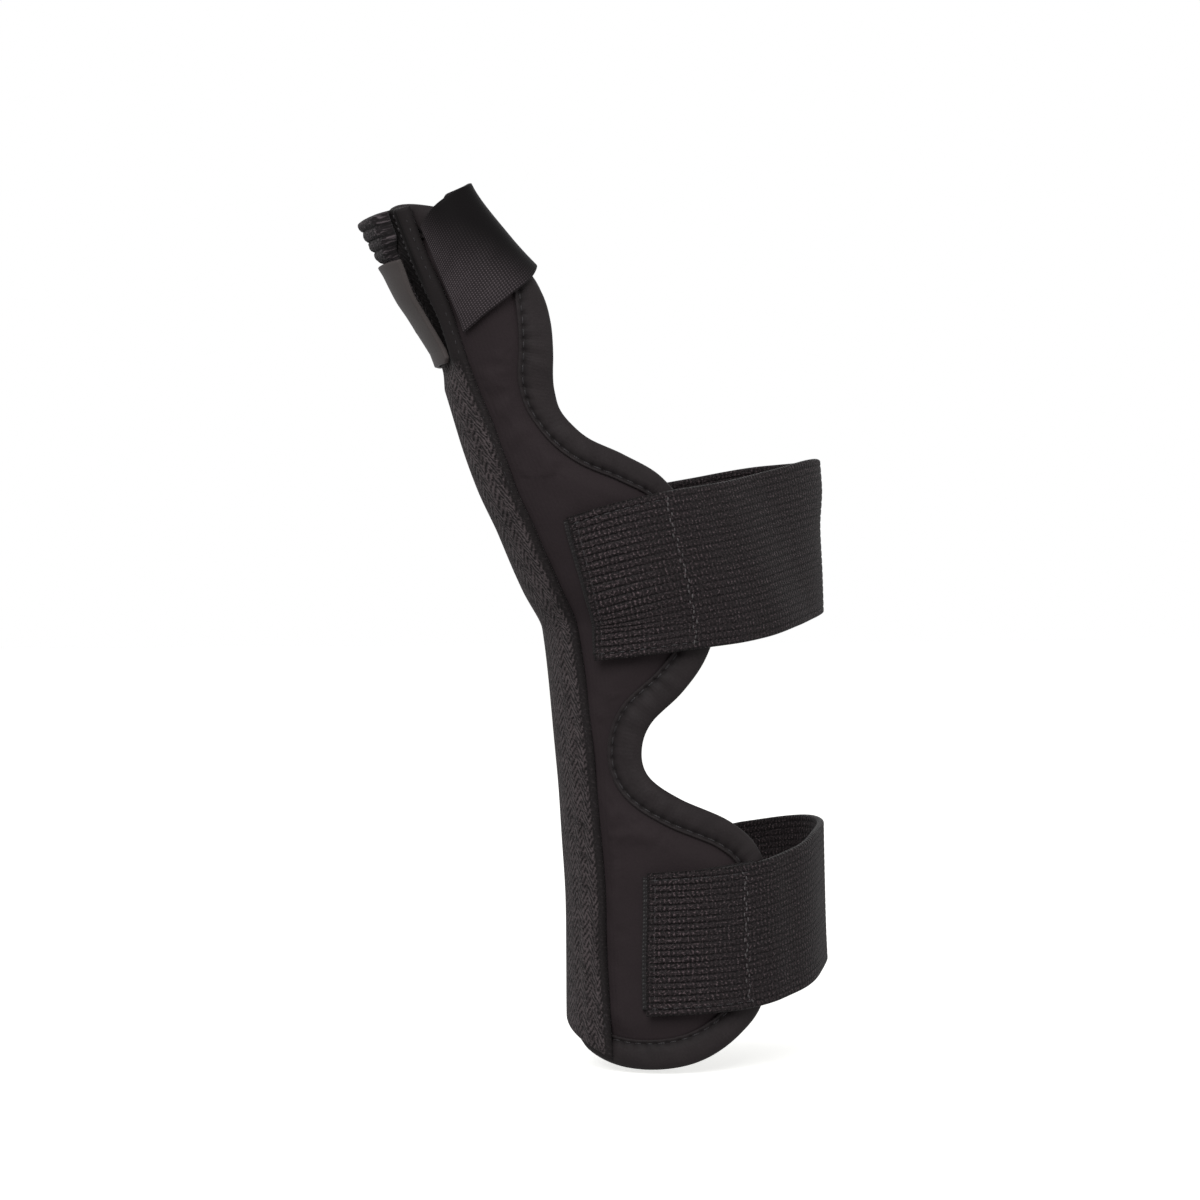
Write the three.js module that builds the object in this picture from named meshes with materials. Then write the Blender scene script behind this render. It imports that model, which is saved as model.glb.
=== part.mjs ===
// Thumb spica splint, closed in the form that it has when worn on a right forearm.
// Millimetres, +Z up along the forearm toward the hand. The origin is the centre of the hollow at
// the wrist, -X is the thumb (radial) side and -Y is the back of the hand (dorsal) side.
import * as THREE from 'three';

// Driving sizes.
const splintHeight = 215;       // lower end to the top of the thumb strap
const wristWidth = 66;          // hollow at the wrist, thumb side to little-finger side
const wristDepth = 44;          // hollow at the wrist, back to palm side
const panelReach = 46;          // widest reach of a panel from the seam, round the forearm
const panelThickness = 3.6;     // laminated padding
const bindingWidth = 7;         // bound edge seen from outside
const bindingCloth = 1;         // wall of the binding
const sleeveWidth = 15;         // webbing band over the seam
const sleeveRise = 2.3;         // height of the domed band
const sleeveCloth = 1;          // its thickness at the edges
const wristStrapWidth = 38;
const forearmStrapWidth = 34;
const thumbStrapWidth = 28;
const strapThickness = 1.8;
const thumbStrapThickness = 1.6;
const hookThickness = 1.2;      // hook patches under the strap ends
const pileThickness = 3;        // loop strip on the thumb, where it comes out of the tab
const tabThickness = 1.1;       // closing tab of the thumb strap
const layerGap = 0.4;           // clear distance between neighbouring layers
const seamGap = 0.4;            // between the two panels under the band

// Sections of the hollow, lower end first. at: height as a share of splintHeight. radial, ulnar:
// reach to each side as shares of wristWidth. depth, drift: half depth and shift toward the palm
// as shares of half of wristDepth. crown: place of the deepest point as a share of the way across.
// seam: degrees from the thumb side toward the back of the hand.
const sectionColumns = ['at', 'radial', 'ulnar', 'depth', 'crown', 'drift', 'seam'];
const sectionRows = [
  [-0.58, -0.42, 0.53, 1.09, 0.5, 0, 6],
  [-0.39, -0.413, 0.49, 1, 0.5, 0, -2],
  [-0.19, -0.458, 0.48, 0.98, 0.5, 0, -3.5],
  [-0.05, -0.512, 0.485, 1, 0.5, 0, -5.5],
  [0, -0.605, 0.485, 0.98, 0.5, 0, -3.5],
  [0.06, -0.702, 0.48, 0.93, 0.5, 0, -5],
  [0.11, -0.787, 0.5, 0.88, 0.47, 0.02, -5],
  [0.165, -0.852, 0.5, 0.82, 0.42, 0.05, -7],
  [0.23, -0.913, -0.165, 0.73, 0.45, 0.09, -12],
  [0.29, -0.985, -0.58, 0.64, 0.48, 0.14, -9],
  [0.355, -1.08, -0.845, 0.55, 0.5, 0.2, -8],
  [0.42, -1.155, -1.015, 0.48, 0.5, 0.27, -8],
  [0.48, -1.195, -1.06, 0.45, 0.5, 0.32, -8],
];

// Outlines of the two panels with their binding, from the seam round to the seam again.
// reach: distance from the seam as a share of panelReach. at: share of splintHeight.
const outlineColumns = ['reach', 'at'];
const dorsalLowerEnd = [
  [0, -0.524], [0.2, -0.536], [0.41, -0.536], [0.6, -0.525], [0.78, -0.5], [0.915, -0.467],
];
const volarLowerEnd = [
  [0, -0.524], [0.13, -0.508], [0.3, -0.492], [0.52, -0.487], [0.72, -0.48], [0.87, -0.456],
];
const freeEdge = [
  [0.99, -0.41], [1, -0.35], [0.935, -0.298], [0.79, -0.266], [0.545, -0.24], [0.405, -0.216],
  [0.38, -0.188], [0.44, -0.157], [0.61, -0.123], [0.75, -0.086], [0.86, -0.037], [0.935, 0.019],
  [0.945, 0.07], [0.87, 0.111], [0.717, 0.135], [0.56, 0.154], [0.487, 0.179], [0.497, 0.205],
  [0.548, 0.242], [0.583, 0.288], [0.595, 0.326],
];
const upperEnd = [[0.55, 0.358], [0.42, 0.385], [0.22, 0.402], [0, 0.4075]];

// Centre lines of the straps. along: share of the strap's run. at: share of splintHeight.
const pathColumns = ['along', 'at'];
const wristPath = [
  [0, -0.006], [0.12, 0.007], [0.24, 0.0185], [0.35, 0.0345], [0.5, 0.0505], [0.6, 0.046],
  [0.72, 0.031], [0.83, 0.0155], [1, 0],
];
const forearmPath = [
  [0, -0.398], [0.14, -0.393], [0.24, -0.382], [0.31, -0.372], [0.38, -0.361], [0.53, -0.35],
  [0.68, -0.361], [0.75, -0.372], [0.82, -0.382], [1, -0.397],
];
const thumbPath = [
  [0, 0.328], [0.1, 0.346], [0.21, 0.36], [0.37, 0.37], [0.53, 0.371], [0.68, 0.362],
  [0.8, 0.345], [1, 0.304],
];

function named(columns, rows) {
  return rows.map((row) => Object.fromEntries(columns.map((column, i) => [column, row[i]])));
}

const sections = named(sectionColumns, sectionRows);

const clamp01 = (x) => Math.min(1, Math.max(0, x));

function smooth(x) {
  const t = clamp01(x);
  return t * t * (3 - 2 * t);
}

const mix = (a, b, t) => a + (b - a) * t;

// Smooth curve through table rows that never overshoots them.
function follow(rows, key, value, x) {
  const slope = (i) => (rows[i + 1][value] - rows[i][value]) / (rows[i + 1][key] - rows[i][key]);
  const last = rows.length - 1;
  const turn = (i) => {
    if (i === 0) return slope(0);
    if (i === last) return slope(last - 1);
    const before = slope(i - 1);
    const after = slope(i);
    return before * after <= 0 ? 0 : (2 * before * after) / (before + after);
  };
  const at = Math.min(rows[last][key], Math.max(rows[0][key], x));
  let i = 0;
  while (i < last - 1 && at > rows[i + 1][key]) i += 1;
  const span = rows[i + 1][key] - rows[i][key];
  const t = (at - rows[i][key]) / span;
  const start = (2 * t ** 3 - 3 * t ** 2 + 1) * rows[i][value];
  const end = (3 * t ** 2 - 2 * t ** 3) * rows[i + 1][value];
  const bend = (t ** 3 - 2 * t ** 2 + t) * turn(i) + (t ** 3 - t ** 2) * turn(i + 1);
  return start + end + bend * span;
}

const ringSteps = 180;
const ringCache = new Map();

function ringPoint(section, angle, z) {
  const reach = Math.cos(angle) > 0 ? section.crownX - section.radial : section.ulnar - section.crownX;
  return new THREE.Vector3(
    section.crownX - reach * Math.cos(angle),
    section.drift - section.depth * Math.sin(angle),
    z,
  );
}

// Section of the hollow at a height, with the running length round it from the seam.
function ringAt(z) {
  const key = z.toFixed(4);
  if (ringCache.has(key)) return ringCache.get(key);
  const share = z / splintHeight;
  const column = (name) => follow(sections, 'at', name, share);
  const section = {
    radial: column('radial') * wristWidth,
    ulnar: column('ulnar') * wristWidth,
    depth: (column('depth') * wristDepth) / 2,
    drift: (column('drift') * wristDepth) / 2,
    seam: THREE.MathUtils.degToRad(column('seam')),
  };
  section.crownX = mix(section.radial, section.ulnar, column('crown'));
  const lengths = [0];
  let previous = ringPoint(section, section.seam, z);
  for (let i = 1; i <= ringSteps; i += 1) {
    const point = ringPoint(section, section.seam + (2 * Math.PI * i) / ringSteps, z);
    lengths.push(lengths[i - 1] + point.distanceTo(previous));
    previous = point;
  }
  const ring = { section, lengths, girth: lengths[ringSteps] };
  ringCache.set(key, ring);
  return ring;
}

// Point of the hollow at a length s round from the seam, plus toward the back of the hand.
function skin(s, z) {
  const { section, lengths, girth } = ringAt(z);
  const length = ((s % girth) + girth) % girth;
  let low = 0;
  let high = ringSteps;
  while (high - low > 1) {
    const middle = (low + high) >> 1;
    if (lengths[middle] <= length) low = middle;
    else high = middle;
  }
  const part = (length - lengths[low]) / (lengths[high] - lengths[low]);
  return ringPoint(section, section.seam + (2 * Math.PI * (low + part)) / ringSteps, z);
}

// Point at a distance out from the hollow's surface.
function surface(s, z, out) {
  const reach = 0.6;
  const round = skin(s + reach, z).sub(skin(s - reach, z));
  const up = skin(s, z + reach).sub(skin(s, z - reach));
  return skin(s, z).addScaledVector(round.cross(up).normalize(), out);
}

// Closed solid from flat points that each have an inner and an outer distance from the hollow.
class Shell {
  constructor() {
    this.points = [];
    this.quads = [];
  }

  add(s, z, inner, outer) {
    this.points.push({ inside: surface(s, z, inner), outside: surface(s, z, outer) });
    return this.points.length - 1;
  }

  quad(a, b, c, d) {
    this.quads.push([a, b, c, d]);
  }

  grid(index, rows, columns) {
    for (let j = 0; j < rows; j += 1) {
      for (let i = 0; i < columns; i += 1) {
        this.quad(index(i, j), index(i + 1, j), index(i + 1, j + 1), index(i, j + 1));
      }
    }
  }

  solid(name, flip = false) {
    const vertices = [];
    this.points.forEach((point) => vertices.push(...point.outside.toArray()));
    this.points.forEach((point) => vertices.push(...point.inside.toArray()));
    const shift = this.points.length;
    const faces = [];
    const edges = new Map();
    this.quads.forEach(([a, b, c, d]) => {
      const corners = flip ? [a, d, c, b] : [a, b, c, d];
      const under = flip ? [a, b, c, d] : [a, d, c, b];
      pushQuad(faces, ...corners);
      pushQuad(faces, ...under.map((corner) => corner + shift));
      corners.forEach((from, i) => {
        const to = corners[(i + 1) % 4];
        if (!edges.delete(`${to} ${from}`)) edges.set(`${from} ${to}`, [from, to]);
      });
    });
    edges.forEach(([from, to]) => pushQuad(faces, to, from, from + shift, to + shift));
    return mesh(name, vertices, faces);
  }
}

function pushQuad(faces, a, b, c, d) {
  faces.push(a, b, c, a, c, d);
}

const black = new THREE.MeshStandardMaterial({ color: 0x302b2c, roughness: 0.85 });

function mesh(name, vertices, faces) {
  const geometry = new THREE.BufferGeometry();
  geometry.setAttribute('position', new THREE.Float32BufferAttribute(vertices, 3));
  geometry.setIndex(faces);
  geometry.computeVertexNormals();
  const solid = new THREE.Mesh(geometry, black);
  solid.name = name;
  return solid;
}

// Fine points along a smooth curve through the corners first to last of a closed loop.
const curveSteps = 12;

function curveThrough(loop, first, last) {
  const points = [];
  const corner = (i) => loop[(i + loop.length) % loop.length];
  for (let i = first; i < last; i += 1) {
    const [p0, p1, p2, p3] = [corner(i - 1), corner(i), corner(i + 1), corner(i + 2)];
    for (let k = i === first ? 0 : 1; k <= curveSteps; k += 1) {
      const t = k / curveSteps;
      points.push([0, 1].map((axis) => {
        const [a, b, c, d] = [p0[axis], p1[axis], p2[axis], p3[axis]];
        const bend = (2 * a - 5 * b + 4 * c - d) * t ** 2 + (3 * b - a - 3 * c + d) * t ** 3;
        return 0.5 * (2 * b + (c - a) * t + bend);
      }));
    }
  }
  return points;
}

const shoulder = bindingWidth + 1.2;      // where the padding starts to thin toward the binding
const lead = 0.35 * panelReach;           // the edge direction turns along the seam within this
const endSteps = 9;                       // stations along each end of a panel
const edgeSteps = 35;                     // stations along its free edge

const inset = (station, distance) => [
  station.at[0] - station.away[0] * distance,
  station.at[1] - station.away[1] * distance,
];

// Stations round one panel's outer edge, seam at the lower end to seam at the top. side is 1 for
// the back of the hand and -1 for the palm side. Each has its flat place and outward direction.
function panelStations(side) {
  const own = side > 0 ? dorsalLowerEnd : volarLowerEnd;
  const other = side > 0 ? volarLowerEnd : dorsalLowerEnd;
  const place = (sign) => ([reach, at]) => [sign * reach * panelReach, at * splintHeight];
  const half = [...own, ...freeEdge, ...upperEnd].map(place(side));
  const rest = [...other, ...freeEdge, ...upperEnd].map(place(-side)).slice(1, -1).reverse();
  const places = curveThrough([...half, ...rest], 0, half.length - 1);
  const fine = places.map((at, i) => {
    const before = places[Math.max(0, i - 1)];
    const after = places[Math.min(places.length - 1, i + 1)];
    const run = [after[0] - before[0], after[1] - before[1]];
    const near = smooth(Math.abs(at[0]) / lead);
    const away = [near * side * run[1], -side * run[0]];
    const size = Math.hypot(away[0], away[1]);
    return { at, away: [away[0] / size, away[1] / size] };
  });
  const between = (a, b) => Math.hypot(a[0] - b[0], a[1] - b[1]);
  const lengths = [0];
  fine.slice(1).forEach((station, i) => {
    const inner = between(inset(station, shoulder), inset(fine[i], shoulder));
    lengths.push(lengths[i] + between(station.at, fine[i].at) + inner);
  });
  const spread = (first, last, count) => Array.from({ length: count + 1 }, (_, k) => {
    const length = mix(lengths[first], lengths[last], k / count);
    let i = first;
    while (i < last - 1 && lengths[i + 1] < length) i += 1;
    const t = (length - lengths[i]) / (lengths[i + 1] - lengths[i]);
    const blend = (key) => [0, 1].map((axis) => mix(fine[i][key][axis], fine[i + 1][key][axis], t));
    return { at: blend('at'), away: blend('away') };
  });
  const lowCorner = (own.length - 1) * curveSteps;
  const highCorner = (own.length + freeEdge.length) * curveSteps;
  const stations = [
    ...spread(0, lowCorner, endSteps),
    ...spread(lowCorner, highCorner, edgeSteps).slice(1),
    ...spread(highCorner, fine.length - 1, endSteps).slice(1),
  ];
  stations[0].at[0] = (side * seamGap) / 2;
  stations[stations.length - 1].at[0] = (side * seamGap) / 2;
  return stations;
}

const rimInner = bindingCloth + layerGap; // thin rim that runs inside the binding
const rimOuter = panelThickness - rimInner;

// Grid inside the shoulder line, blended from its four sides.
function panelGrid(side, line) {
  const low = line.slice(0, endSteps + 1);
  const edge = line.slice(endSteps, endSteps + edgeSteps + 1);
  const high = line.slice(endSteps + edgeSteps).reverse();
  const seam = edge.map(([, z]) => {
    const share = (z - edge[0][1]) / (edge[edgeSteps][1] - edge[0][1]);
    return [(side * seamGap) / 2, mix(low[0][1], high[0][1], share)];
  });
  // How far each end bows from a straight line, fading out up the panel.
  const bow = (end, i, k) => end[i][k] - mix(end[0][k], end[endSteps][k], i / endSteps);
  return (i, j) => {
    const u = i / endSteps;
    const v = j / edgeSteps;
    return [0, 1].map((k) => mix(seam[j][k], edge[j][k], u)
      + bow(low, i, k) * (1 - v) ** 6 + bow(high, i, k) * v ** 6);
  };
}

function panel(name, side) {
  const stations = panelStations(side);
  const line = stations.map((station) => inset(station, shoulder));
  const place = panelGrid(side, line);
  const shell = new Shell();
  const index = (i, j) => j * (endSteps + 1) + i;
  for (let j = 0; j <= edgeSteps; j += 1) {
    for (let i = 0; i <= endSteps; i += 1) shell.add(...place(i, j), 0, panelThickness);
  }
  shell.grid(index, edgeSteps, endSteps);
  let inner = stations.map((_, k) => {
    if (k <= endSteps) return index(k, 0);
    if (k <= endSteps + edgeSteps) return index(endSteps, k - endSteps);
    return index(2 * endSteps + edgeSteps - k, edgeSteps);
  });
  const rim = [bindingWidth + layerGap, 0.6 * bindingWidth, bindingCloth + layerGap];
  rim.forEach((distance) => {
    const outer = stations.map((station) => shell.add(...inset(station, distance), rimInner, rimOuter));
    for (let k = 0; k < stations.length - 1; k += 1) {
      shell.quad(inner[k], outer[k], outer[k + 1], inner[k + 1]);
    }
    inner = outer;
  });
  return shell.solid(name, side < 0);
}

// Folded strip round the whole edge of both panels, open toward the padding.
function edgeBinding(name) {
  const round = [
    ...panelStations(1),
    ...panelStations(-1).reverse().slice(1, -1),
  ];
  const half = panelThickness / 2;
  const wall = half - bindingCloth;
  const fold = 0.25 * bindingWidth;
  const profile = [
    [bindingWidth, half], [fold, half], [0, 0.4 * half], [0, -0.4 * half], [fold, -half],
    [bindingWidth, -half], [bindingWidth, -wall], [0.6 * bindingWidth, -wall],
    [bindingCloth, -wall], [bindingCloth, wall], [0.6 * bindingWidth, wall], [bindingWidth, wall],
  ];
  const vertices = [];
  const faces = [];
  const count = profile.length;
  round.forEach((station, k) => {
    const here = k * count;
    const next = ((k + 1) % round.length) * count;
    profile.forEach(([distance, out], i) => {
      const [s, z] = inset(station, distance);
      vertices.push(...surface(s, z, half + out).toArray());
      const turn = (i + 1) % count;
      const inward = profile[turn][0] > distance;
      const corners = [here + i, here + turn, next + turn, next + i];
      // Each facet is split the same way as the rim that runs inside it.
      if (inward === (station.at[0] > 0)) corners.push(corners.shift());
      pushQuad(faces, ...corners);
    });
  });
  return mesh(name, vertices, faces);
}

const sleeveTop = 0.405;            // ends of the band as shares of splintHeight
const sleeveFoot = -0.506;
const sleeveCut = 0.021;            // its lower end is cut at a slant
const sleeveBase = panelThickness + 1.25 * layerGap;

// Up the thumb. rise: share of sleeveRise that the band keeps where the closing tab presses on it.
// pile: thickness of the loop strip under the tab, as a share of pileThickness.
const pressColumns = ['at', 'rise', 'pile'];
const pressRows = named(pressColumns, [
  [0.216, 1, 0.25], [0.24, 0.52, 0.25], [0.28, 0.5, 0.25], [0.3, 0.6, 0.38], [0.324, 0.82, 0.57],
  [0.356, 1, 0.6],
]);

function sleeveHeight(s, z) {
  const across = Math.min(1, Math.abs(s) / (sleeveWidth / 2));
  const rise = sleeveRise * follow(pressRows, 'at', 'rise', z / splintHeight);
  return sleeveBase + mix(rise, sleeveCloth, across ** 2);
}

function staySleeve(name) {
  const across = 6;
  const rows = 48;
  const shell = new Shell();
  for (let j = 0; j <= rows; j += 1) {
    for (let i = 0; i <= across; i += 1) {
      const share = (2 * i) / across - 1;
      const s = (share * sleeveWidth) / 2;
      const foot = (sleeveFoot - sleeveCut * share) * splintHeight;
      const z = mix(foot, sleeveTop * splintHeight, j / rows);
      shell.add(s, z, sleeveBase, sleeveHeight(s, z));
    }
  }
  shell.grid((i, j) => j * (across + 1) + i, rows, across);
  return shell.solid(name);
}

// Strap that starts beside the seam on the back of the hand and runs round past the little-finger
// side. start, finish: distances of its ends from the seam; lean: how far the start tips over.
function strapPlace(strap, along, across) {
  const centre = follow(strap.path, 'along', 'at', along) * splintHeight;
  const girthShare = (z) => {
    const { girth } = ringAt(z);
    return (strap.start + along * (girth - strap.finish - strap.start)) / girth;
  };
  const share = girthShare(centre);
  const point = (z) => skin(share * ringAt(z).girth, z);
  const stretch = point(centre + 2).distanceTo(point(centre - 2)) / 4;
  const z = centre + across / stretch;
  const tilt = strap.lean * across * (1 - smooth(along * 3));
  return [girthShare(z) * ringAt(z).girth + tilt, z];
}

function strapBand(name, strap, lengthSteps, widthSteps) {
  const shell = new Shell();
  for (let j = 0; j <= widthSteps; j += 1) {
    const across = (j / widthSteps - 0.5) * strap.width;
    for (let i = 0; i <= lengthSteps; i += 1) {
      const [s, z] = strapPlace(strap, i / lengthSteps, across);
      const lift = strap.lift(s, ringAt(z).girth - s);
      shell.add(s, z, lift, lift + strap.thickness);
    }
  }
  shell.grid((i, j) => j * (lengthSteps + 1) + i, widthSteps, lengthSteps);
  return shell.solid(name);
}

const onPanel = panelThickness + layerGap;
const onHook = onPanel + hookThickness + layerGap;
const onSkin = layerGap;

// Height of a strap's inner face: on its hook patch, then on the panel, then near the skin.
function strapLift(patchEnd, panelEdge, fall) {
  return (s, back) => {
    const hook = 1 - smooth((s - patchEnd) / (0.4 * fall));
    const front = 1 - smooth((s - panelEdge) / fall);
    const rear = 1 - smooth((back - panelEdge) / fall);
    return onSkin + (onPanel - onSkin) * Math.max(front, rear) + (onHook - onPanel) * hook;
  };
}

const patchLength = 0.52 * panelReach;

const wristStrap = {
  path: named(pathColumns, wristPath),
  width: wristStrapWidth,
  thickness: strapThickness,
  start: 0.29 * panelReach,
  finish: 0.48 * panelReach,
  lean: 0.1,
  lift: strapLift(0.86 * panelReach, 1.02 * panelReach, 0.5 * panelReach),
};

const forearmStrap = {
  path: named(pathColumns, forearmPath),
  width: forearmStrapWidth,
  thickness: strapThickness,
  start: 0.36 * panelReach,
  finish: 0.52 * panelReach,
  lean: 0.04,
  lift: strapLift(0.9 * panelReach, 1.05 * panelReach, 0.45 * panelReach),
};

const thumbStrap = {
  path: named(pathColumns, thumbPath),
  width: thumbStrapWidth,
  thickness: thumbStrapThickness,
  start: 0.6 * sleeveWidth,
  finish: 0.84 * sleeveWidth,
  lean: 0,
  lift: (s, back) => {
    const half = (s + back) / 2;
    const share = Math.abs(s - half) / half;
    return onSkin + (onPanel - onSkin) * smooth((share - 0.08) / 0.16);
  },
};

// Hook patch between a strap's end and the panel.
function hookPatch(name, strap) {
  const margin = 1.5;
  const lengthSteps = 7;
  const widthSteps = 6;
  const shell = new Shell();
  for (let j = 0; j <= widthSteps; j += 1) {
    const across = (j / widthSteps - 0.5) * (strap.width - 2 * margin);
    for (let i = 0; i <= lengthSteps; i += 1) {
      const [start, z] = strapPlace(strap, 0, across);
      shell.add(start + 0.5 + (patchLength * i) / lengthSteps, z + 0.14 * (patchLength * i) / lengthSteps,
        onPanel, onPanel + hookThickness);
    }
  }
  shell.grid((i, j) => j * (lengthSteps + 1) + i, widthSteps, lengthSteps);
  return shell.solid(name);
}

const pileFoot = 0.29;              // ends of the loop strip and the tab, shares of splintHeight
const pileTop = 0.405;
const tabFoot = 0.243;
const tabTop = 0.362;
const tabRest = 0.258;              // below this the tab lies on the band itself

// Height of whatever lies under the closing tab's side of the thumb.
function bandHeight(s, z) {
  return Math.abs(s) > sleeveWidth / 2 ? onPanel + sleeveCloth * 0.8 : sleeveHeight(s, z);
}

// Thickness of the ribbed loop strip on the band at the thumb. Its upper end is bare and thick,
// the rest lies under the closing tab.
function pileDepth(z) {
  const share = z / splintHeight;
  const bare = smooth((share - tabTop + 0.004) / 0.005);
  const full = mix(1, 1.5, clamp01((share - tabTop) / (pileTop - tabTop)));
  return pileThickness * mix(follow(pressRows, 'at', 'pile', share), full, bare);
}

function thumbPile(name) {
  const across = 5;
  const heights = [
    pileFoot, 0.3, 0.312, 0.324, 0.338, 0.349, tabTop - 0.0035, tabTop + 0.001, 0.38, 0.393, pileTop,
  ];
  const shell = new Shell();
  heights.forEach((share) => {
    const z = share * splintHeight;
    const edge = mix(0.1, 0.22, smooth((share - tabTop) / 0.02));
    for (let i = 0; i <= across; i += 1) {
      const s = mix(-0.72, edge, i / across) * sleeveWidth;
      const base = bandHeight(s, z) + layerGap;
      shell.add(s, z, base, base + pileDepth(z));
    }
  });
  shell.grid((i, j) => j * (across + 1) + i, heights.length - 1, across);
  return shell.solid(name);
}

// Smooth closing tab: sits on the end of the thumb strap, then on the loop strip.
function thumbTab(name) {
  const across = 8;
  const rows = 12;
  const shell = new Shell();
  const overStrap = onPanel + thumbStrapThickness + layerGap;
  for (let j = 0; j <= rows; j += 1) {
    const share = mix(tabFoot, tabTop - 0.004, j / rows);
    const z = share * splintHeight;
    const edge = 0.3 - 0.08 * Math.sin((Math.PI * j) / rows);
    const onPile = clamp01((share - tabRest) / (pileFoot - 0.005 - tabRest));
    for (let i = 0; i <= across; i += 1) {
      const s = mix(-1.15, edge, i / across) * sleeveWidth;
      const cover = overStrap - 0.8 * smooth((s / sleeveWidth + 0.8) / 0.12);
      const band = bandHeight(s, z) + layerGap + onPile * (pileDepth(z) + 0.9 * layerGap);
      const lift = Math.max(band, cover);
      shell.add(s, z, lift, lift + tabThickness);
    }
  }
  shell.grid((i, j) => j * (across + 1) + i, rows, across);
  return shell.solid(name);
}

const splint = new THREE.Group();
splint.name = 'thumb_spica_splint';
splint.add(
  panel('dorsal_panel', 1),
  panel('volar_panel', -1),
  edgeBinding('edge_binding'),
  staySleeve('stay_sleeve'),
  strapBand('wrist_strap', wristStrap, 36, 6),
  hookPatch('wrist_hook_patch', wristStrap),
  strapBand('forearm_strap', forearmStrap, 30, 6),
  hookPatch('forearm_hook_patch', forearmStrap),
  strapBand('thumb_strap', thumbStrap, 24, 6),
  thumbPile('thumb_pile_strip'),
  thumbTab('thumb_hook_tab'),
);

export default splint;
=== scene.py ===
import math

import bpy
import numpy as np
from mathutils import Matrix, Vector


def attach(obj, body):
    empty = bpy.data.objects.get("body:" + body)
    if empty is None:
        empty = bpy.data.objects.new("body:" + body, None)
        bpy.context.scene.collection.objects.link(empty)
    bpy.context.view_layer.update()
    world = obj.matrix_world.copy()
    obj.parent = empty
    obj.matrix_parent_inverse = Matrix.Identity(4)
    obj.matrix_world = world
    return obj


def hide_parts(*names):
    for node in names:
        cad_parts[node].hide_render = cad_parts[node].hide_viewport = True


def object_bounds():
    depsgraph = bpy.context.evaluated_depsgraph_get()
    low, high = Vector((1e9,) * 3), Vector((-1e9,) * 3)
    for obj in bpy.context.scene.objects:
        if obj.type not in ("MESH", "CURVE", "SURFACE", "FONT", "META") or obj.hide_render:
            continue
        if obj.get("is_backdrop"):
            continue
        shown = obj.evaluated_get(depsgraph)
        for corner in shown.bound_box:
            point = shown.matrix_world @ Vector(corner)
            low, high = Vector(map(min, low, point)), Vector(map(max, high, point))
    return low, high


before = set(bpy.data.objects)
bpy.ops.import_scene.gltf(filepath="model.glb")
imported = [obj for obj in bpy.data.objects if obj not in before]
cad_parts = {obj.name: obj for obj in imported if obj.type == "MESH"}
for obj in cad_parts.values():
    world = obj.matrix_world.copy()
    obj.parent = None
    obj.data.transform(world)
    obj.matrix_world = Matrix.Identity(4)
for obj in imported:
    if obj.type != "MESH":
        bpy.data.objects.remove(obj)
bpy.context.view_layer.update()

bl_info = {
    "name": "Thumb Spica Splint",
    "version": (1, 0, 0),
    "blender": (4, 5, 0),
    "location": "View3D > Sidebar > Splint",
    "description": "Builds the panels, straps and stitching of a thumb spica splint on its CAD frame",
    "category": "Add Mesh",
}

MM = 0.001
ROOT = "root"

# Sizes of the frame, in millimetres.
HEIGHT = 215.0
WRIST_WIDTH = 66.0
WRIST_DEPTH = 44.0
PANEL_REACH = 46.0
SEAM_GAP = 0.4
LAYER_GAP = 0.4
SLEEVE_WIDTH = 15.0

# Sections of the hollow, as in the frame: at, radial, ulnar, depth, crown, drift, seam. at is a
# share of HEIGHT, radial and ulnar of WRIST_WIDTH, depth and drift of half WRIST_DEPTH.
SECTIONS = np.array([
    (-0.58, -0.42, 0.53, 1.09, 0.5, 0, 6),
    (-0.39, -0.413, 0.49, 1, 0.5, 0, -2),
    (-0.19, -0.458, 0.48, 0.98, 0.5, 0, -3.5),
    (-0.05, -0.512, 0.485, 1, 0.5, 0, -5.5),
    (0, -0.605, 0.485, 0.98, 0.5, 0, -3.5),
    (0.06, -0.702, 0.48, 0.93, 0.5, 0, -5),
    (0.11, -0.787, 0.5, 0.88, 0.47, 0.02, -5),
    (0.165, -0.852, 0.5, 0.82, 0.42, 0.05, -7),
    (0.23, -0.913, -0.165, 0.73, 0.45, 0.09, -12),
    (0.29, -0.985, -0.58, 0.64, 0.48, 0.14, -9),
    (0.355, -1.08, -0.845, 0.55, 0.5, 0.2, -8),
    (0.42, -1.155, -1.015, 0.48, 0.5, 0.27, -8),
    (0.48, -1.195, -1.06, 0.45, 0.5, 0.32, -8),
])

# Outlines of the panels: reach from the seam as a share of PANEL_REACH, at as a share of HEIGHT.
DORSAL_LOWER_END = [
    (0, -0.524), (0.2, -0.536), (0.41, -0.536), (0.6, -0.525), (0.78, -0.5), (0.915, -0.467),
]
VOLAR_LOWER_END = [
    (0, -0.524), (0.13, -0.508), (0.3, -0.492), (0.52, -0.487), (0.72, -0.48), (0.87, -0.456),
]
FREE_EDGE = [
    (0.99, -0.41), (1, -0.35), (0.935, -0.298), (0.79, -0.266), (0.545, -0.24), (0.405, -0.216),
    (0.38, -0.188), (0.44, -0.157), (0.61, -0.123), (0.75, -0.086), (0.86, -0.037), (0.935, 0.019),
    (0.945, 0.07), (0.87, 0.111), (0.717, 0.135), (0.56, 0.154), (0.487, 0.179), (0.497, 0.205),
    (0.548, 0.242), (0.583, 0.288), (0.595, 0.326),
]
UPPER_END = [(0.55, 0.358), (0.42, 0.385), (0.22, 0.402), (0, 0.4075)]

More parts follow.
